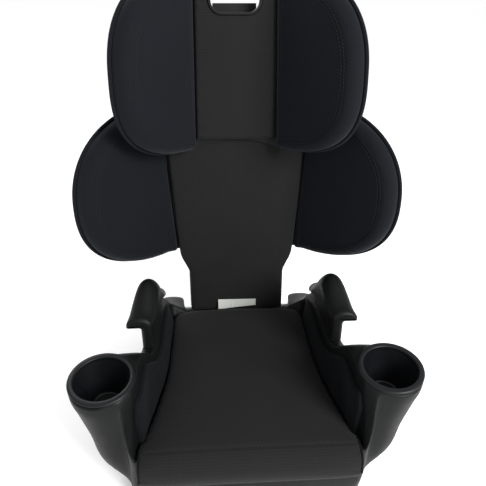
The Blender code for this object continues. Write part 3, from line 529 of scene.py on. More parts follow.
def build_base_shell():
    points = base_surface(5, 5)
    points[:, -1, 0] = 0.0
    points[0, :, 0] = 0.0
    points[-1, :, 0] = 0.0
    bm = bmesh.new()
    grid_mesh(bm, points)
    weld(bm, 0.02)
    face_along(bm, Vector((0, 0, 1)))
    shell = make_piece("base_shell_moulding", bm, SHELL_PLASTIC, "base", ["base_shell"])
    mirror = shell.modifiers.new("mirror", "MIRROR")
    mirror.merge_threshold = 0.00005
    mirror.use_clip = True
    thicken(shell, WALL)
    holes = bmesh.new()
    for side, _ in SIDES:
        top, axis = cup_frame(side)
        cylinder(holes, CUP_R + GAP, top + axis * 20, top - axis * 25, 64)
    cylinder(holes, HINGE_ROD_R + GAP, (-ROD_CUT, HINGE_Y, HINGE_Z), (ROD_CUT, HINGE_Y, HINGE_Z), 24)
    cut(shell, holes, BASE_PLACE)


def cup_frame(side):
    return (Vector((side * POD.x, POD.y, POD.z)),
            Vector((0, -math.sin(POD_TILT), math.cos(POD_TILT))))


CUP_SPAN, CUP_INNER = 3, 16    # rows to each step of the cup's profile, and where its inside starts
GRIP_HEIGHT, GRIP_SHARPNESS = 1.4, 60


def build_cup(side, word):
    """A tapered cup with a rolled rim, a stepped floor and two grip ribs inside."""
    wall, floor_r, rim = 2.2, 24.5, CUP_R + 6.0
    profile = [(0.0, -CUP_DEPTH), (floor_r - 5, -CUP_DEPTH), (floor_r - 1.5, -CUP_DEPTH + 0.6),
               (floor_r, -CUP_DEPTH + 3.5), (floor_r + 3.8, -CUP_DEPTH + 18), (CUP_R - 1.0, -4.0),
               (CUP_R, -0.4), (CUP_R + 0.4, 0.4), (rim - 1.2, 0.5), (rim - 0.2, 0.9), (rim + 0.5, 2.0),
               (rim + 0.1, 3.2), (rim - 1.3, 4.1), (rim - 3.0, 4.5), (CUP_R + 0.6, 4.5),
               (CUP_R - 1.2, 3.9), (CUP_R - 2.0, 2.4), (CUP_R - wall - 0.4, -2.0),
               (floor_r + 1.6, -CUP_DEPTH + 20), (floor_r - wall, -CUP_DEPTH + 7),
               (floor_r - wall - 1.2, -CUP_DEPTH + 4), (floor_r - 6, -CUP_DEPTH + 3.0),
               (floor_r - 7.5, -CUP_DEPTH + 3.6), (floor_r - 9, -CUP_DEPTH + 3.0), (0.0, -CUP_DEPTH + 3.0)]
    fine = catmull(np.array(profile), CUP_SPAN)
    fine[:, 0] = np.maximum(fine[:, 0], 0.0)
    points = []
    for k, (r, z) in enumerate(fine):
        height = 0.0
        if k > CUP_INNER * CUP_SPAN:
            height = GRIP_HEIGHT * smoothstep((z + CUP_DEPTH - 6) / 10) * smoothstep(-z / 8)
        row = []
        for a in full_turn(96):
            reach = max(r - height * max(0.0, math.cos(2 * a)) ** GRIP_SHARPNESS, 0.0)
            row.append((reach * math.cos(a), reach * math.sin(a), z))
        points.append(row)
    bm = bmesh.new()
    grid_mesh(bm, points, closed_columns=True)
    weld(bm, 0.01)
    top, axis = cup_frame(side)
    turn = axis.to_track_quat("Z", "Y").to_matrix().to_4x4()
    place = BASE_PLACE @ Matrix.Translation(top + axis * 1.2) @ turn
    make_piece("cup_holder_" + word, bm, CUP_PLASTIC, "base", ["cup_insert_" + word], place=place)


def shoulder_z(y):
    """The height of the base's side under an armrest."""
    marks = [(-60, 157.0), (-45, 148.0), (0, 138.0), (70, 137.0), (140, 126.0), (182, 104.0)]
    for (y0, z0), (y1, z1) in zip(marks, marks[1:]):
        if y <= y1:
            return blend(z0, z1, (y - y0) / (y1 - y0)) + 1.0
    return marks[-1][1] + 1.0


ARM_FRONT, ARM_REAR, ARM_ROUND = -31.0, 138.0, 6.0


def arm_section(y):
    """The armrest's outline at one place along it, as points (x, z) of a closed loop."""
    t = (y - ARM_FRONT) / (ARM_REAR - ARM_FRONT)
    front = smoothstep(t / 0.16)
    rear = smoothstep((1 - t) / 0.55)
    deck = shoulder_z(y)
    crown = 199.0 + 27.0 * smoothstep(t / 0.4) - 76.0 * (1 - smoothstep((1 - t) / 0.62))
    outer = 176.0 - 12.0 * smoothstep(t / 0.5) - 3.0 * (1 - rear)
    inner = blend(137.0, 131.0, front)
    middle, half = (outer + inner) / 2, (outer - inner) / 2
    cap = blend(13.0, 24.0, front) * blend(0.6, 1.0, rear)
    skirt = blend(5.0, 12.0, smoothstep(t / 0.4)) * blend(0.3, 1.0, rear)
    lip_low = max(crown - cap - skirt, deck + 5.0)
    web_in, web_out = 136.0, 154.0
    shoulder = blend(deck, crown - cap, 0.6)
    points = [(web_out, deck), (web_in, deck), (web_in, blend(deck, shoulder, 0.5)), (web_in, shoulder)]
    for a in np.linspace(0, math.pi, 17):
        points.append((middle - half * math.cos(a), crown - cap * (1 - math.sin(a))))
    fillet = 2.4
    points += [(middle + half, blend(crown - cap, lip_low, 0.6)), (middle + half - 0.4, lip_low + fillet),
               (middle + half - 1.4, lip_low + 0.5), (middle + half - 3.4, lip_low),
               (web_out + fillet + 0.6, lip_low), (web_out + 0.8, lip_low - 0.8),
               (web_out, lip_low - fillet - 0.6)]
    return np.array(points)


def inset_loop(loop, amount):
    """A closed loop of (x, z) points moved in along its corners' normals."""
    ahead, behind = np.roll(loop, -1, axis=0), np.roll(loop, 1, axis=0)
    tangent = ahead - behind
    tangent /= np.maximum(np.linalg.norm(tangent, axis=1, keepdims=True), 1e-6)
    normal = np.stack([tangent[:, 1], -tangent[:, 0]], axis=1)
    moved = loop + normal * amount
    moved[:2, 1] = loop[:2, 1]
    return moved


def build_armrest(side, word):
    spans = []
    for a in np.linspace(0, math.pi / 2, 7):
        spans.append((ARM_FRONT + ARM_ROUND * (1 - math.sin(a)), ARM_ROUND * (1 - math.cos(a))))
    spans = spans[::-1]
    flats = np.linspace(ARM_FRONT + ARM_ROUND, ARM_REAR - ARM_ROUND, 30)[1:-1]
    middle = [(y, 0.0) for y in flats]
    rear = [(ARM_FRONT + ARM_REAR - y, inset) for y, inset in spans[::-1]]
    loops = []
    for y, inset in spans + middle + rear:
        loop = inset_loop(arm_section(min(max(y, ARM_FRONT + 1), ARM_REAR - 1)), inset)
        loops.append([(side * x, y, z) for x, z in loop])
    bm = bmesh.new()
    verts = grid_mesh(bm, loops, closed_columns=True)
    bm.faces.new(verts[0])
    bm.faces.new(verts[-1][::-1])
    face_outward(bm)
    make_piece("armrest_moulding_" + word, bm, SHELL_PLASTIC, "base", ["armrest_" + word])


# ---- cushions of the base ----
def cushion_half(y):
    """Half the cushion's width: clear of the side panels, and full width over the nose."""
    beside_panels = pan_half_width(y) - 5.5 + 3.5 * smoothstep((-168.0 - y) / 12.0)
    return min(beside_panels, 146.0, 121.0 - (y - 120.0) * 0.3)


def cushion_stations():
    """Pairs of points (y, z) on the cushion's upper and lower faces, from its rear end, over the
    nose and down the apron."""
    pairs = []
    for y in (138, 134, 126, 105, 70, 30, -20, -60, -100, -135, -160):
        pairs.append(((y, cushion_top(y)), (y, pan_z(y) + 1.2)))
    pairs += [((-178, cushion_top(-178) - 0.5), (-174, pan_z(-174) + 1.6)),
              ((-192, cushion_top(-192) - 2.0), (-181, 96.0)),
              ((-203, 105.5), (-190, 98.6)),
              ((-211, 99.0), (-199, 98.6)),
              ((-215.5, 90.0), (-201.8, 92.0)),
              ((-216, 80.0), (-202.6, 80.0)),
              ((-214, 70.0), (-203.2, 70.0)),
              ((-211, 62.5), (-204, 63.0)),
              ((-208.5, 60.2), (-206, 60.4))]
    return np.array(pairs, float)


CUSHION_AROUND = 112
NOSE_SEAM, SEAM_DEPTH, SEAM_HALF_WIDTH, STITCH_BESIDE = 331.0, 1.7, 2.2, 4.5
UNDERSIDE_UV = 700.0    # keeps the two faces' weave apart, in millimetres


def build_cushion():
    """Foam in a fitted cover: crowned, pulled in along its edges, with a rolled nose and an apron."""
    stations = catmull(cushion_stations(), 6)
    points, uvs = [], []
    travelled = 0.0
    count = len(stations)
    for k, (upper, lower) in enumerate(stations):
        if k:
            travelled += float(np.linalg.norm(upper - stations[k - 1][0]))
        centre, axis = (upper + lower) / 2, (upper - lower) / 2
        rear_end = 1 - (1 - min(travelled / 16.0, 1.0)) ** 3
        tip = (count - 1 - k) / count
        end = max(rear_end, 0.02) ** 0.4 * min(1.0, max(tip / 0.06, 0.02) ** 0.35)
        half = cushion_half(upper[0]) * blend(0.965, 1.0, min(travelled / 20.0, 1.0))
        apron = smoothstep((k / count - 0.80) / 0.08)
        power = blend(4.6, 7.0, apron)
        row, row_uv = [], []
        for a in full_turn(CUSHION_AROUND):
            c, s = math.cos(a), math.sin(a)
            x = half * math.copysign(abs(c) ** (2 / power), c)
            lift = math.copysign(abs(s) ** (2 / (2.6 + 2.0 * apron)), s) * end
            share = abs(x) / half
            swell = 0.0
            if s > 0:
                seat = math.exp(-((upper[0] + 10) / 90.0) ** 2) * math.exp(-(x / 75.0) ** 2)
                swell = -3.5 * seat - 2.5 * share ** 4 * (1 - apron)
                swell += 0.7 * noise.noise(Vector((x / 46, travelled / 46, 0.3))) * (1 - 0.5 * apron)
                pucker = math.exp(-((1 - share) * half / 9.0) ** 2)
                swell += 0.55 * pucker * math.sin(travelled / 3.1 + 1.6 * math.sin(travelled / 23.0))
                swell -= SEAM_DEPTH * math.exp(-((travelled - NOSE_SEAM) / SEAM_HALF_WIDTH) ** 2)
            y, z = centre + axis * lift
            row.append((x, y - swell * apron, z + swell * (1 - apron)))
            row_uv.append((x * MM, (travelled + (0.0 if s > 0 else UNDERSIDE_UV)) * MM))
        row_uv.append(row_uv[0])
        points.append(row)
        uvs.append(row_uv)
    bm = bmesh.new()
    verts = grid_mesh(bm, points, uvs, closed_columns=True)
    bm.faces.new(verts[0])
    bm.faces.new(verts[-1][::-1])
    face_outward(bm)
    cushion = make_piece("seat_cushion_cover", bm, GREY_FABRIC, "base", ["seat_cushion"], SOFT_ANGLE)
    return points


def build_cushion_trim(points):
    """A piped edge along both sides of the seat and a stitched seam across its nose."""
    rows = [np.array(row) for row in points]
    half, quarter = CUSHION_AROUND // 2, CUSHION_AROUND // 4
    bm = bmesh.new()
    piped = round(CUSHION_AROUND * 0.028)
    for index in (piped, half - piped):
        sweep(bm, [tuple(row[index]) for row in rows[10:-14]], 1.7)
    make_piece("seat_piping", bm, SIDE_FABRIC, "base")
    steps = np.diff([row[quarter] for row in rows], axis=0)
    travelled = np.concatenate([[0.0], np.cumsum(np.linalg.norm(steps, axis=1))])
    row_at = int(np.argmin(abs(travelled - NOSE_SEAM - STITCH_BESIDE)))
    across_top = slice(4, half - 3)
    line, behind = rows[row_at][across_top], rows[row_at - 1][across_top]
    normals = []
    for k, p in enumerate(line):
        across = line[min(k + 1, len(line) - 1)] - line[max(k - 1, 0)]
        n = np.cross(across, behind[k] - p)
        n = n / np.linalg.norm(n)
        normals.append(n if n[2] > 0 or n[1] < 0 else -n)
    bm = bmesh.new()
    stitch_row(bm, [p + 0.2 * n for p, n in zip(line, normals)], normals)
    make_piece("seat_stitching", bm, THREAD, "base")


PANEL_FIRST, PANEL_LAST, PANEL_SPAN = 5, 17, 4    # base stations the panel runs between, rows to each
PANEL_LIFT, PANEL_EDGE, PANEL_THICK, PANEL_ROLL, ROW_LENGTH = 0.7, 0.6, 4.4, 6.0, 4.0


def build_side_panel(side, word):
    """The cover's thin padded panel on the inner face of the base's side."""
    surface = base_surface(PANEL_SPAN, 1)[PANEL_FIRST * PANEL_SPAN:PANEL_LAST * PANEL_SPAN + 1]
    foot_line, rim_line = surface[:, FOOT_COLUMN], surface[:, RIM_COLUMN]
    across = 22
    shares = eased(across)
    rows = []
    for foot, rim in zip(foot_line, rim_line):
        foot, rim = Vector(foot), Vector(rim)
        rows.append([blend(foot, rim, blend(0.03, 0.93, u)) for u in shares])
    last = len(rows) - 1
    travelled = 0.0
    cells = []
    for r, row in enumerate(rows):
        if r:
            travelled += (row[0] - rows[r - 1][0]).length
        length = (row[-1] - row[0]).length
        line = []
        for c, (u, point) in enumerate(zip(shares, row)):
            up = row[min(c + 1, across)] - row[max(c - 1, 0)]
            along = rows[min(r + 1, last)][c] - rows[max(r - 1, 0)][c]
            out = up.cross(along).normalized()
            out = out if out.x < 0 else -out
            rolled = rolled_edge(min(min(u, 1 - u) * length, min(r, last - r) * ROW_LENGTH), PANEL_ROLL)
            thick = PANEL_EDGE + PANEL_THICK * rolled + 0.8 * rolled * noise.noise(point / 38)
            line.append((point + out * (PANEL_LIFT + thick), point + out * PANEL_LIFT,
                         (travelled * MM, u * length * MM)))
        cells.append(line)
    place = BASE_PLACE if side > 0 else BASE_PLACE @ Matrix.Scale(-1, 4, (1, 0, 0))
    bm = bmesh.new()
    close_slab(bm, cells)
    panel = make_piece("side_panel_" + word, bm, SIDE_FABRIC, "base", ["side_bolster_" + word],
                       SOFT_ANGLE, place)
    if side < 0:
        panel.data.flip_normals()


def rolled_edge(distance, radius):
    """A quarter circle's rise from 0 at an edge to 1 at a radius inside it."""
    return math.sqrt(max(0.0, 1 - (1 - min(distance / radius, 1.0)) ** 2))


def close_slab(bm, cells):
    """A closed slab from a grid of front points, rear points and UVs."""
    front, rear, uvs = ([[cell[k] for cell in row] for row in cells] for k in range(3))
    top = grid_mesh(bm, front, uvs)
    low = grid_mesh(bm, rear, uvs)
    rows, columns = len(top), len(top[0])
    layer = bm.loops.layers.uv["weave"]
    border = [(0, c) for c in range(columns - 1)] + [(r, columns - 1) for r in range(rows - 1)]
    border += [(rows - 1, c) for c in range(columns - 1, 0, -1)]
    border += [(r, 0) for r in range(rows - 1, 0, -1)]
    for (r0, c0), (r1, c1) in zip(border, border[1:] + border[:1]):
        face = bm.faces.new((low[r0][c0], low[r1][c1], top[r1][c1], top[r0][c0]))
        for loop, (i, j) in zip(face.loops, ((r0, c0), (r1, c1), (r1, c1), (r0, c0))):
            loop[layer].uv = uvs[i][j]
    face_outward(bm)


# ---- the back and the headrest ----
class Section:
    """A section across the back: flat in the middle, an arc, then a straight wing."""

    def __init__(self, rear, half_flat, radius, wing_deg, wing_length):
        self.rear, self.half_flat, self.radius = rear, half_flat, radius
        self.angle = math.radians(wing_deg)
        self.arc = radius * self.angle
        self.reach = half_flat + self.arc + wing_length

    def bend(self, s):
        """The side that a place s along the section is on, its distance, and the turn there."""
        side, s = (1.0, s) if s >= 0 else (-1.0, -s)
        return side, s, min(max((s - self.half_flat) / self.radius, 0.0), self.angle)

    def at(self, s, w, d):
        side, s, bend = self.bend(s)
        past = max(s - self.half_flat - self.arc, 0.0)
        x = min(s, self.half_flat) + self.radius * math.sin(bend) + past * math.cos(bend)
        v = self.rear - self.radius * (1 - math.cos(bend)) - past * math.sin(bend)
        return Vector((side * (x - d * math.sin(bend)), v - d * math.cos(bend), w))

    def normal(self, s):
        side, _, bend = self.bend(s)
        return Vector((-side * math.sin(bend), -math.cos(bend), 0.0))


TORSO = Section(rear=-6.0, half_flat=106.0, radius=45.0, wing_deg=53.0, wing_length=176.0)
HEAD = Section(rear=-39.0, half_flat=60.0, radius=40.0, wing_deg=55.0, wing_length=144.0)


class Wing:
    """A D-shaped wing: a straight seam on the inside and a superellipse outside."""

    def __init__(self, section, seam_low, seam_high, low, high, power, taper=0.0):
        self.section, self.seam_low, self.seam_high = section, seam_low, seam_high
        self.low, self.high, self.power, self.taper = low, high, power, taper

    def seam(self, w):
        return blend(self.seam_low, self.seam_high, (w - self.low) / (self.high - self.low))

    def edge(self, degrees, inset=0.0):
        a = math.radians(degrees)
        middle, half = (self.low + self.high) / 2, (self.high - self.low) / 2 - inset
        w = middle + half * math.copysign(abs(math.sin(a)) ** (2 / self.power), a)
        start = self.seam(w) + inset
        reach = self.section.reach - inset - self.taper * math.sin(a)
        return (start + (reach - start) * abs(math.cos(a)) ** (2 / self.power), w)

    def grid(self, across, up, inset=0.0):
        """Rows of (s, w) filling the wing, closer together towards its edges."""
        us, vs = eased(across), eased(up)
        bottom = [self.edge(blend(-90, -45, u), inset) for u in us]
        top = [self.edge(blend(90, 45, u), inset) for u in us]
        outer = [self.edge(blend(-45, 45, v), inset) for v in vs]
        inner = []
        for v in vs:
            w = blend(self.low + inset, self.high - inset, v)
            inner.append((self.seam(w) + inset, w))
        rows = []
        for j, v in enumerate(vs):
            rows.append([tuple(
                (1 - v) * bottom[i][k] + v * top[i][k] + (1 - u) * inner[j][k] + u * outer[j][k]
                - (1 - u) * (1 - v) * bottom[0][k] - u * (1 - v) * bottom[across][k]
                - (1 - u) * v * top[0][k] - u * v * top[across][k] for k in (0, 1))
                for i, u in enumerate(us)])
        return rows


TORSO_WING = Wing(TORSO, 106.0, 142.0, 138.0, 408.0, 2.3, -2.0)
HEAD_WING = Wing(HEAD, 70.0, 63.0, 336.0, 598.0, 2.6, 12.0)
BACK_FOOT, TONGUE_TOP = 12.0, 430.0
NECK_HALF, NECK_TOP, TONGUE_STEP = 90.0, 90.0, 20.0


def torso_half(w):
    """Half the torso's middle panel: the neck, between the wings, and the tongue above them."""
    low, high = TORSO_WING.low, TORSO_WING.high
    if w <= low:
        return blend(NECK_HALF, TORSO_WING.seam(low), smoothstep((w - NECK_TOP) / (low - NECK_TOP)))
    if w <= high:
        return TORSO_WING.seam(w)
    return TORSO_WING.seam(high) - TONGUE_STEP * smoothstep((w - high) / (TONGUE_TOP - high))


def round_corners(wing, grid, inset, radius=13.0):
    """Rounds the two corners where a wing's straight seam meets its top and bottom edges."""
    low, high = wing.low + inset, wing.high - inset
    rounded = []
    for row in grid:
        line = []
        for s, w in row:
            seam = wing.seam(w) + inset
            top = w > (low + high) / 2
            beside = s - seam
            above = (high - w) if top else (w - low)
            p = min(max(1 - beside / radius, 0.0), 1.0)
            q = min(max(1 - above / radius, 0.0), 1.0)
            if p > 0 and q > 0:
                beside = radius * (1 - p * math.sqrt(1 - q * q / 2))
                above = radius * (1 - q * math.sqrt(1 - p * p / 2))
            line.append((seam + beside, high - above if top else low + above))
        rounded.append(line)
    return rounded


def border_distance(grid):
    """Each grid point's distance to the grid's border, in millimetres."""
    flat = np.array(grid)
    rows, columns = flat.shape[:2]
    loop = np.concatenate([flat[0], flat[1:, -1], flat[-1, -2::-1], flat[-2::-1, 0]])
    a, b = loop[:-1], loop[1:]
    run = b - a
    length = np.maximum((run ** 2).sum(1), 1e-9)
    points = flat.reshape(-1, 1, 2)
    t = np.clip(((points - a) * run).sum(2) / length, 0, 1)
    near = a + t[..., None] * run
    return np.sqrt(((points - near) ** 2).sum(2)).min(1).reshape(rows, columns)


SEAM_SHARE = 0.30       # of a pad's thickness, where its cover's front and rear meet
TUCK = 4.0              # how far the rear face is tucked in along its edge
GROOVE_HALF_WIDTH = 1.9


def padded_panel(name, section, grid, front, mat, body, replaced, roll, crown, groove):
    """A foam panel in its cover: rolled edges, a crowned face, soft wrinkles and a sewn channel.
    groove is the channel's distance in from the edge and its depth."""
    distance = border_distance(grid)
    rear = WALL + 0.5
    seam_depth = rear + SEAM_SHARE * (front - rear)
    cells = []
    for r, row in enumerate(grid):
        line = []
        for c, (s, w) in enumerate(row):
            e = distance[r, c]
            rolled = rolled_edge(e, roll)
            top = seam_depth + (front - seam_depth - crown) * rolled + crown * (1 - math.exp(-e / 34.0))
            soft = noise.noise(Vector((s / 44, w / 52, front)))
            soft += 0.5 * noise.noise(Vector((s / 17, w / 21, 5)))
            top += 0.55 * soft * rolled
            pull = math.exp(-((e - 7) / 8.0) ** 2)
            top += 0.35 * pull * math.sin((s + w) / 3.4 + 1.3 * math.sin((s - w) / 19.0))
            if groove:
                top -= groove[1] * math.exp(-((e - groove[0]) / GROOVE_HALF_WIDTH) ** 2)
            back = blend(seam_depth, rear, rolled_edge(e, TUCK))
            line.append((section.at(s, w, top), section.at(s, w, back), (s * MM, w * MM)))
        cells.append(line)
    bm = bmesh.new()
    close_slab(bm, cells)
    bmesh.ops.remove_doubles(bm, verts=bm.verts[:], dist=0.01)
    panel = make_piece(name, bm, mat, body, replaced, SOFT_ANGLE)
    return panel


def build_wing_pads(part, wing, body, across, up):
    for side, word in SIDES:
        rows = round_corners(wing, wing.grid(across, up, 1.0), 1.0)
        grid = [[(side * s, w) for s, w in row] for row in rows]
        padded_panel(part + "_wing_pad_" + word, wing.section, grid, PAD_FRONT, DARK_FABRIC, body,
                     [part + "_pad_" + word, part + "_foam_" + word], roll=16.0, crown=3.5,
                     groove=(19.0, 0.9))


def wing_outline(wing, inset, side, steps=120):
    points = [wing.edge(blend(-88, 88, k / steps), inset) for k in range(steps + 1)]
    return [(side * s, w) for s, w in points]


def shell_surface(wing, half_width, heights_below, heights_above, arch):
    """An open surface of the shell's front face: the middle panel and both wings, welded."""
    section = wing.section
    columns, across, up = 14, 26, 40
    bm = bmesh.new()
    heights = heights_below + [blend(wing.low, wing.high, v) for v in eased(up)] + heights_above
    low, high = heights[0], heights[-1]
    rows = []
    for w in heights:
        lift = arch * (1 - (w - low) / (high - low))
        row = [(half_width(w) * k / columns, w + lift * (1 - (k / columns) ** 2))
               for k in range(columns + 1)]
        rows.append([(-s, h) for s, h in row[:0:-1]] + row)
    grid_mesh(bm, [[section.at(s, w, WALL) for s, w in row] for row in rows])
    for side, _ in SIDES:
        grid = wing.grid(across, up)
        grid_mesh(bm, [[section.at(side * s, w, WALL) for s, w in row] for row in grid])
    weld(bm, 0.05)
    face_along(bm, Vector((0, -1, 0)))
    return bm


def build_shell(node, bm, body):
    shell = make_piece(node + "_moulding", bm, SHELL_PLASTIC, body, [node])
    thicken(shell, WALL)
    return shell


def build_binding(name, wing, body):
    """The cover's corded hem, which grips the shell round each wing's edge."""
    bm = bmesh.new()
    for side, _ in SIDES:
        path = [wing.section.at(s, w, 2.4) for s, w in wing_outline(wing, 0.6, side)]
        sweep(bm, path, 2.9, 10)
    make_piece(name, bm, DARK_FABRIC, body)


def build_rear_ribs(name, wing, body, rows, start):
    """Shallow stiffening ribs moulded on the shell's rear face, each a height and a reach."""
    bm = bmesh.new()
    for w, reach in rows:
        path = [wing.section.at(s, w + 6.0 * math.cos(s / reach * 1.2), -0.7)
                for s in np.linspace(start, reach, 24)]
        for side, _ in SIDES:
            sweep(bm, [Vector((side * p.x, p.y, p.z)) for p in path], 1.9)
    make_piece(name, bm, SHELL_PLASTIC, body)


def centre_rows(half_width, heights, across):
    """Rows of (s, w) over a middle panel, a little narrower than the place for it."""
    return [[((half_width(w) - 1.2) * (2 * u - 1), w) for u in eased(across)] for w in heights]


def build_back():
    below = [BACK_FOOT, 30.0, 50.0, 70.0, 90.0, 100.0, 110.0, 120.0, 130.0]
    above = [412.0, 416.0, 420.0, 425.0, TONGUE_TOP]
    build_shell("back_shell", shell_surface(TORSO_WING, torso_half, below, above, 0.0), "back")
    build_binding("torso_cover_binding", TORSO_WING, "back")
    build_rear_ribs("back_shell_ribs", TORSO_WING, "back",
                    ((190, 262), (235, 292), (280, 300), (325, 290), (368, 262)), 62.0)
    build_wing_pads("torso", TORSO_WING, "back", 44, 54)
    heights = [blend(BACK_FOOT, TONGUE_TOP - 6, v) for v in eased(90)]
    padded_panel("torso_centre_pad", TORSO, centre_rows(torso_half, heights, 60), PAD_FRONT, GREY_FABRIC,
                 "back", ["torso_pad_center"], roll=8.0, crown=1.6, groove=(8.5, 0.8))
    build_stitching("torso_stitching", "back", TORSO_WING)


def build_stitching(name, body, wing):
    """Two rows of stitches, one on each side of the sewn channel of each wing pad."""
    bm = bmesh.new()
    for inset in (18.0, 23.2):
        for side, _ in SIDES:
            line = wing_outline(wing, inset, side, 240)
            path = [wing.section.at(s, w, PAD_FRONT - 2.0) for s, w in line]
            stitch_row(bm, path, [wing.section.normal(s) for s, _ in line])
    make_piece(name, bm, THREAD, body)


HOLE_LOW, HOLE_HIGH, HOLE_HALF = 543.0, 580.0, 38.0


def hole_outline(grow):
    middle, half_h = (HOLE_LOW + HOLE_HIGH) / 2, (HOLE_HIGH - HOLE_LOW) / 2 + grow
    straight = HOLE_HALF + grow - half_h
    points = []
    for a in full_turn(72):
        x = half_h * math.cos(a)
        points.append((x + (straight if x > 1e-6 else -straight if x < -1e-6 else 0.0),
                       middle + half_h * math.sin(a)))
    return points


def hole_cutter(grow):
    """A prism through the headrest's middle, from well in front of it to well behind."""
    bm = bmesh.new()
    join_rings(bm, [[bm.verts.new((x, depth, w)) for x, w in hole_outline(grow)] for depth in (-80, -20)])
    return bm


def build_head():
    surface = shell_surface(HEAD_WING, HEAD_WING.seam, [], [], 14.0)
    shell = build_shell("head_shell", surface, "headrest")
    cut(shell, hole_cutter(0.0), BACK_PLACE)
    build_binding("head_cover_binding", HEAD_WING, "headrest")
    build_rear_ribs("head_shell_ribs", HEAD_WING, "headrest",
                    ((380, 205), (425, 232), (470, 238), (515, 232), (560, 205)), 56.0)
    build_wing_pads("head", HEAD_WING, "headrest", 40, 52)
    heights = [blend(352.0, HEAD_WING.high - 1, v) for v in eased(72)]
    pad = padded_panel("head_centre_pad", HEAD, centre_rows(HEAD_WING.seam, heights, 48), HEAD_PAD_FRONT,
                       GREY_FABRIC, "headrest", ["head_pad_center"], roll=6.0, crown=1.2, groove=None)
    cut(pad, hole_cutter(2.2), BACK_PLACE)
    bezel = bmesh.new()
    for behind, grow, radius in ((0.6, 1.4, 2.3), (5.0, 0.9, 2.0), (9.0, 0.9, 2.0), (12.5, 0.9, 2.0)):
        path = [HEAD.at(x, w, HEAD_PAD_FRONT - behind) for x, w in hole_outline(grow)]
        sweep(bezel, path, radius, 10, closed=True, stretch=1.2)
    face_outward(bezel)
    make_piece("hand_hole_bezel", bezel, CUP_PLASTIC, "headrest")
    build_stitching("head_stitching", "headrest", HEAD_WING)


LABEL_LENGTH, TAPE = 72.0, 0.4
LABEL_PLACE = (-39.0, 41.5)     # its front and its top edge in the back's own axes
LABEL_HEIGHTS = (20.0, 13.0)    # at its left and right ends
LABEL_FOLD = 0.37               # share of the label's length at which it is creased


def build_label():
    """A blank woven tape label sewn under the back pad's foot, creased near its left end."""
    columns, rows = 48, 12
    bm = bmesh.new()
    points, uvs = [], []
    for r in range(rows + 1):
        line, uv_line = [], []
        for c in range(columns + 1):
            u, v = c / columns, r / rows
            x = LABEL_LENGTH * (u - 0.5)
            drop = blend(*LABEL_HEIGHTS, u) * v
            turned = max(0.0, LABEL_FOLD - u) / LABEL_FOLD
            crease = math.exp(-((u - LABEL_FOLD) / 0.02) ** 2)
            front, top = LABEL_PLACE
            line.append((x, front - v * (1.0 + 3.0 * turned + crease), top - u - drop))
            uv_line.append((x * MM, drop * MM))
        points.append(line)
        uvs.append(uv_line)
    grid_mesh(bm, points, uvs)
    label = make_piece("care_label_tape", bm, LABEL, "back", ["care_label"])
    thicken(label, TAPE)


# ---- carried-over frame parts ----
BEVEL_WIDTH = 0.0007


def finish_frame_parts():
    """The frame's own mechanical parts keep their shapes and get their materials. The moulded ones
    get a fine bevel too, apart from the rib frame."""
    kept = ((SHELL_PLASTIC, "base_rib_frame rod_block_left rod_block_right back_spine head_carriage"),
            (LEVER_PLASTIC, "belt_guide_left belt_guide_right release_lever"),
            (STEEL, "hinge_rod lever_pin lever_spring"),
            (STEEL, "spine_screw_1 spine_screw_2 spine_screw_3 spine_screw_4"))
    for name, mat in [(name, mat) for mat, names in kept for name in names.split()]:
        node = frame["nodes"][name]
        node.data.materials.clear()
        node.data.materials.append(mat)
        if mat is not STEEL and name != "base_rib_frame":
            bevel = node.modifiers.new("edges", "BEVEL")
            bevel.width = BEVEL_WIDTH
            bevel.segments = 2
            bevel.limit_method = "ANGLE"
            bevel.angle_limit = math.radians(SHARP_ANGLE)


# ---- studio ----
CAMERA_PLACE = Vector((-0.0400, -0.65698, 0.65607))
CAMERA_PITCH, CAMERA_YAW, CAMERA_ROLL = (math.radians(a) for a in (27.92, 3.577, 0.165))
CAMERA_LENS, SENSOR = 38.02, 36.0
FLOOR_HALF, FLOOR_DROP, FLOOR_GREY, FLOOR_GLOW, SKY = 30.0, 0.0002, 0.93, 0.2, 0.85
LIGHT_SIZE = 0.9
KEY_PLACE, KEY_TARGET, KEY_WATTS = (1.25, -1.5, 1.35), (0, 0.0, 0.35), 72
RIM_PLACE, RIM_TARGET, RIM_WATTS = (-0.9, 1.4, 1.5), (0, 0.1, 0.4), 12


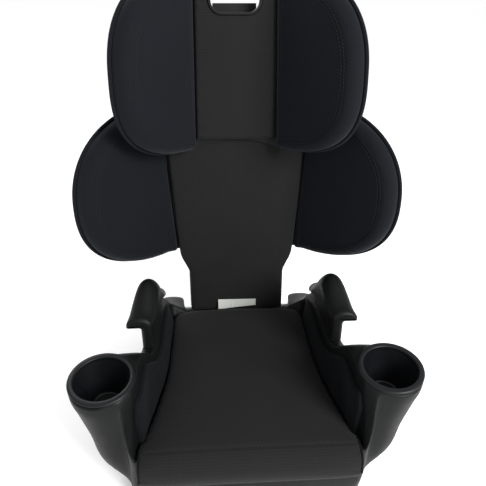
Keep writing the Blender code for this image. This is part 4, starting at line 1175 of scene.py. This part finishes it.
def build_camera():
    camera = add_object("camera", bpy.data.cameras.new("camera"))
    camera.data.lens = CAMERA_LENS
    camera.data.sensor_width = SENSOR
    camera.data.clip_start = 0.01
    ahead = Vector((math.sin(CAMERA_YAW) * math.cos(CAMERA_PITCH),
                    math.cos(CAMERA_YAW) * math.cos(CAMERA_PITCH), -math.sin(CAMERA_PITCH)))
    level = Vector((math.cos(CAMERA_YAW), -math.sin(CAMERA_YAW), 0))
    up = level.cross(ahead)
    right = level * math.cos(CAMERA_ROLL) + up * math.sin(CAMERA_ROLL)
    top = -level * math.sin(CAMERA_ROLL) + up * math.cos(CAMERA_ROLL)
    turn = Matrix((right, top, -ahead)).transposed().to_4x4()
    camera.matrix_world = Matrix.Translation(CAMERA_PLACE) @ turn
    bpy.context.scene.camera = camera


def build_light(name, place, target, power):
    light = bpy.data.lights.new(name, "AREA")
    light.size = LIGHT_SIZE
    light.energy = power
    obj = add_object(name, light)
    obj.location = place
    obj.rotation_euler = (Vector(target) - Vector(place)).to_track_quat("-Z", "Y").to_euler()


def build_studio():
    """A wide pale floor that glows a little, like a light table, a soft key and a weak rim light."""
    bm = bmesh.new()
    bmesh.ops.create_grid(bm, x_segments=1, y_segments=1, size=FLOOR_HALF)
    mesh = bpy.data.meshes.new("floor")
    bm.to_mesh(mesh)
    bm.free()
    floor = add_object("floor", mesh)
    floor.location.z = cad_low.z - FLOOR_DROP
    look = Look("pale_floor", 0.95)
    look.set("Base Color", (FLOOR_GREY,) * 3)
    look.set("Specular IOR Level", 0.0)
    look.set("Emission Color", (1.0, 1.0, 1.0))
    look.set("Emission Strength", FLOOR_GLOW)
    mesh.materials.append(look.material)
    world = bpy.data.worlds.new("studio")
    bpy.context.scene.world = world
    world.use_nodes = True
    backdrop = world.node_tree.nodes["Background"]
    backdrop.inputs["Color"].default_value = (1.0, 1.0, 1.0, 1)
    backdrop.inputs["Strength"].default_value = SKY
    build_light("key", KEY_PLACE, KEY_TARGET, KEY_WATTS)
    build_light("rim", RIM_PLACE, RIM_TARGET, RIM_WATTS)
    bpy.context.scene.view_settings.view_transform = "Standard"


# ---- assembly ----
build_base_shell()
for base_side, base_word in SIDES:
    build_cup(base_side, base_word)
    build_armrest(base_side, base_word)
    build_side_panel(base_side, base_word)
build_cushion_trim(build_cushion())
build_back()
build_head()
build_label()
finish_frame_parts()
build_studio()
build_camera()
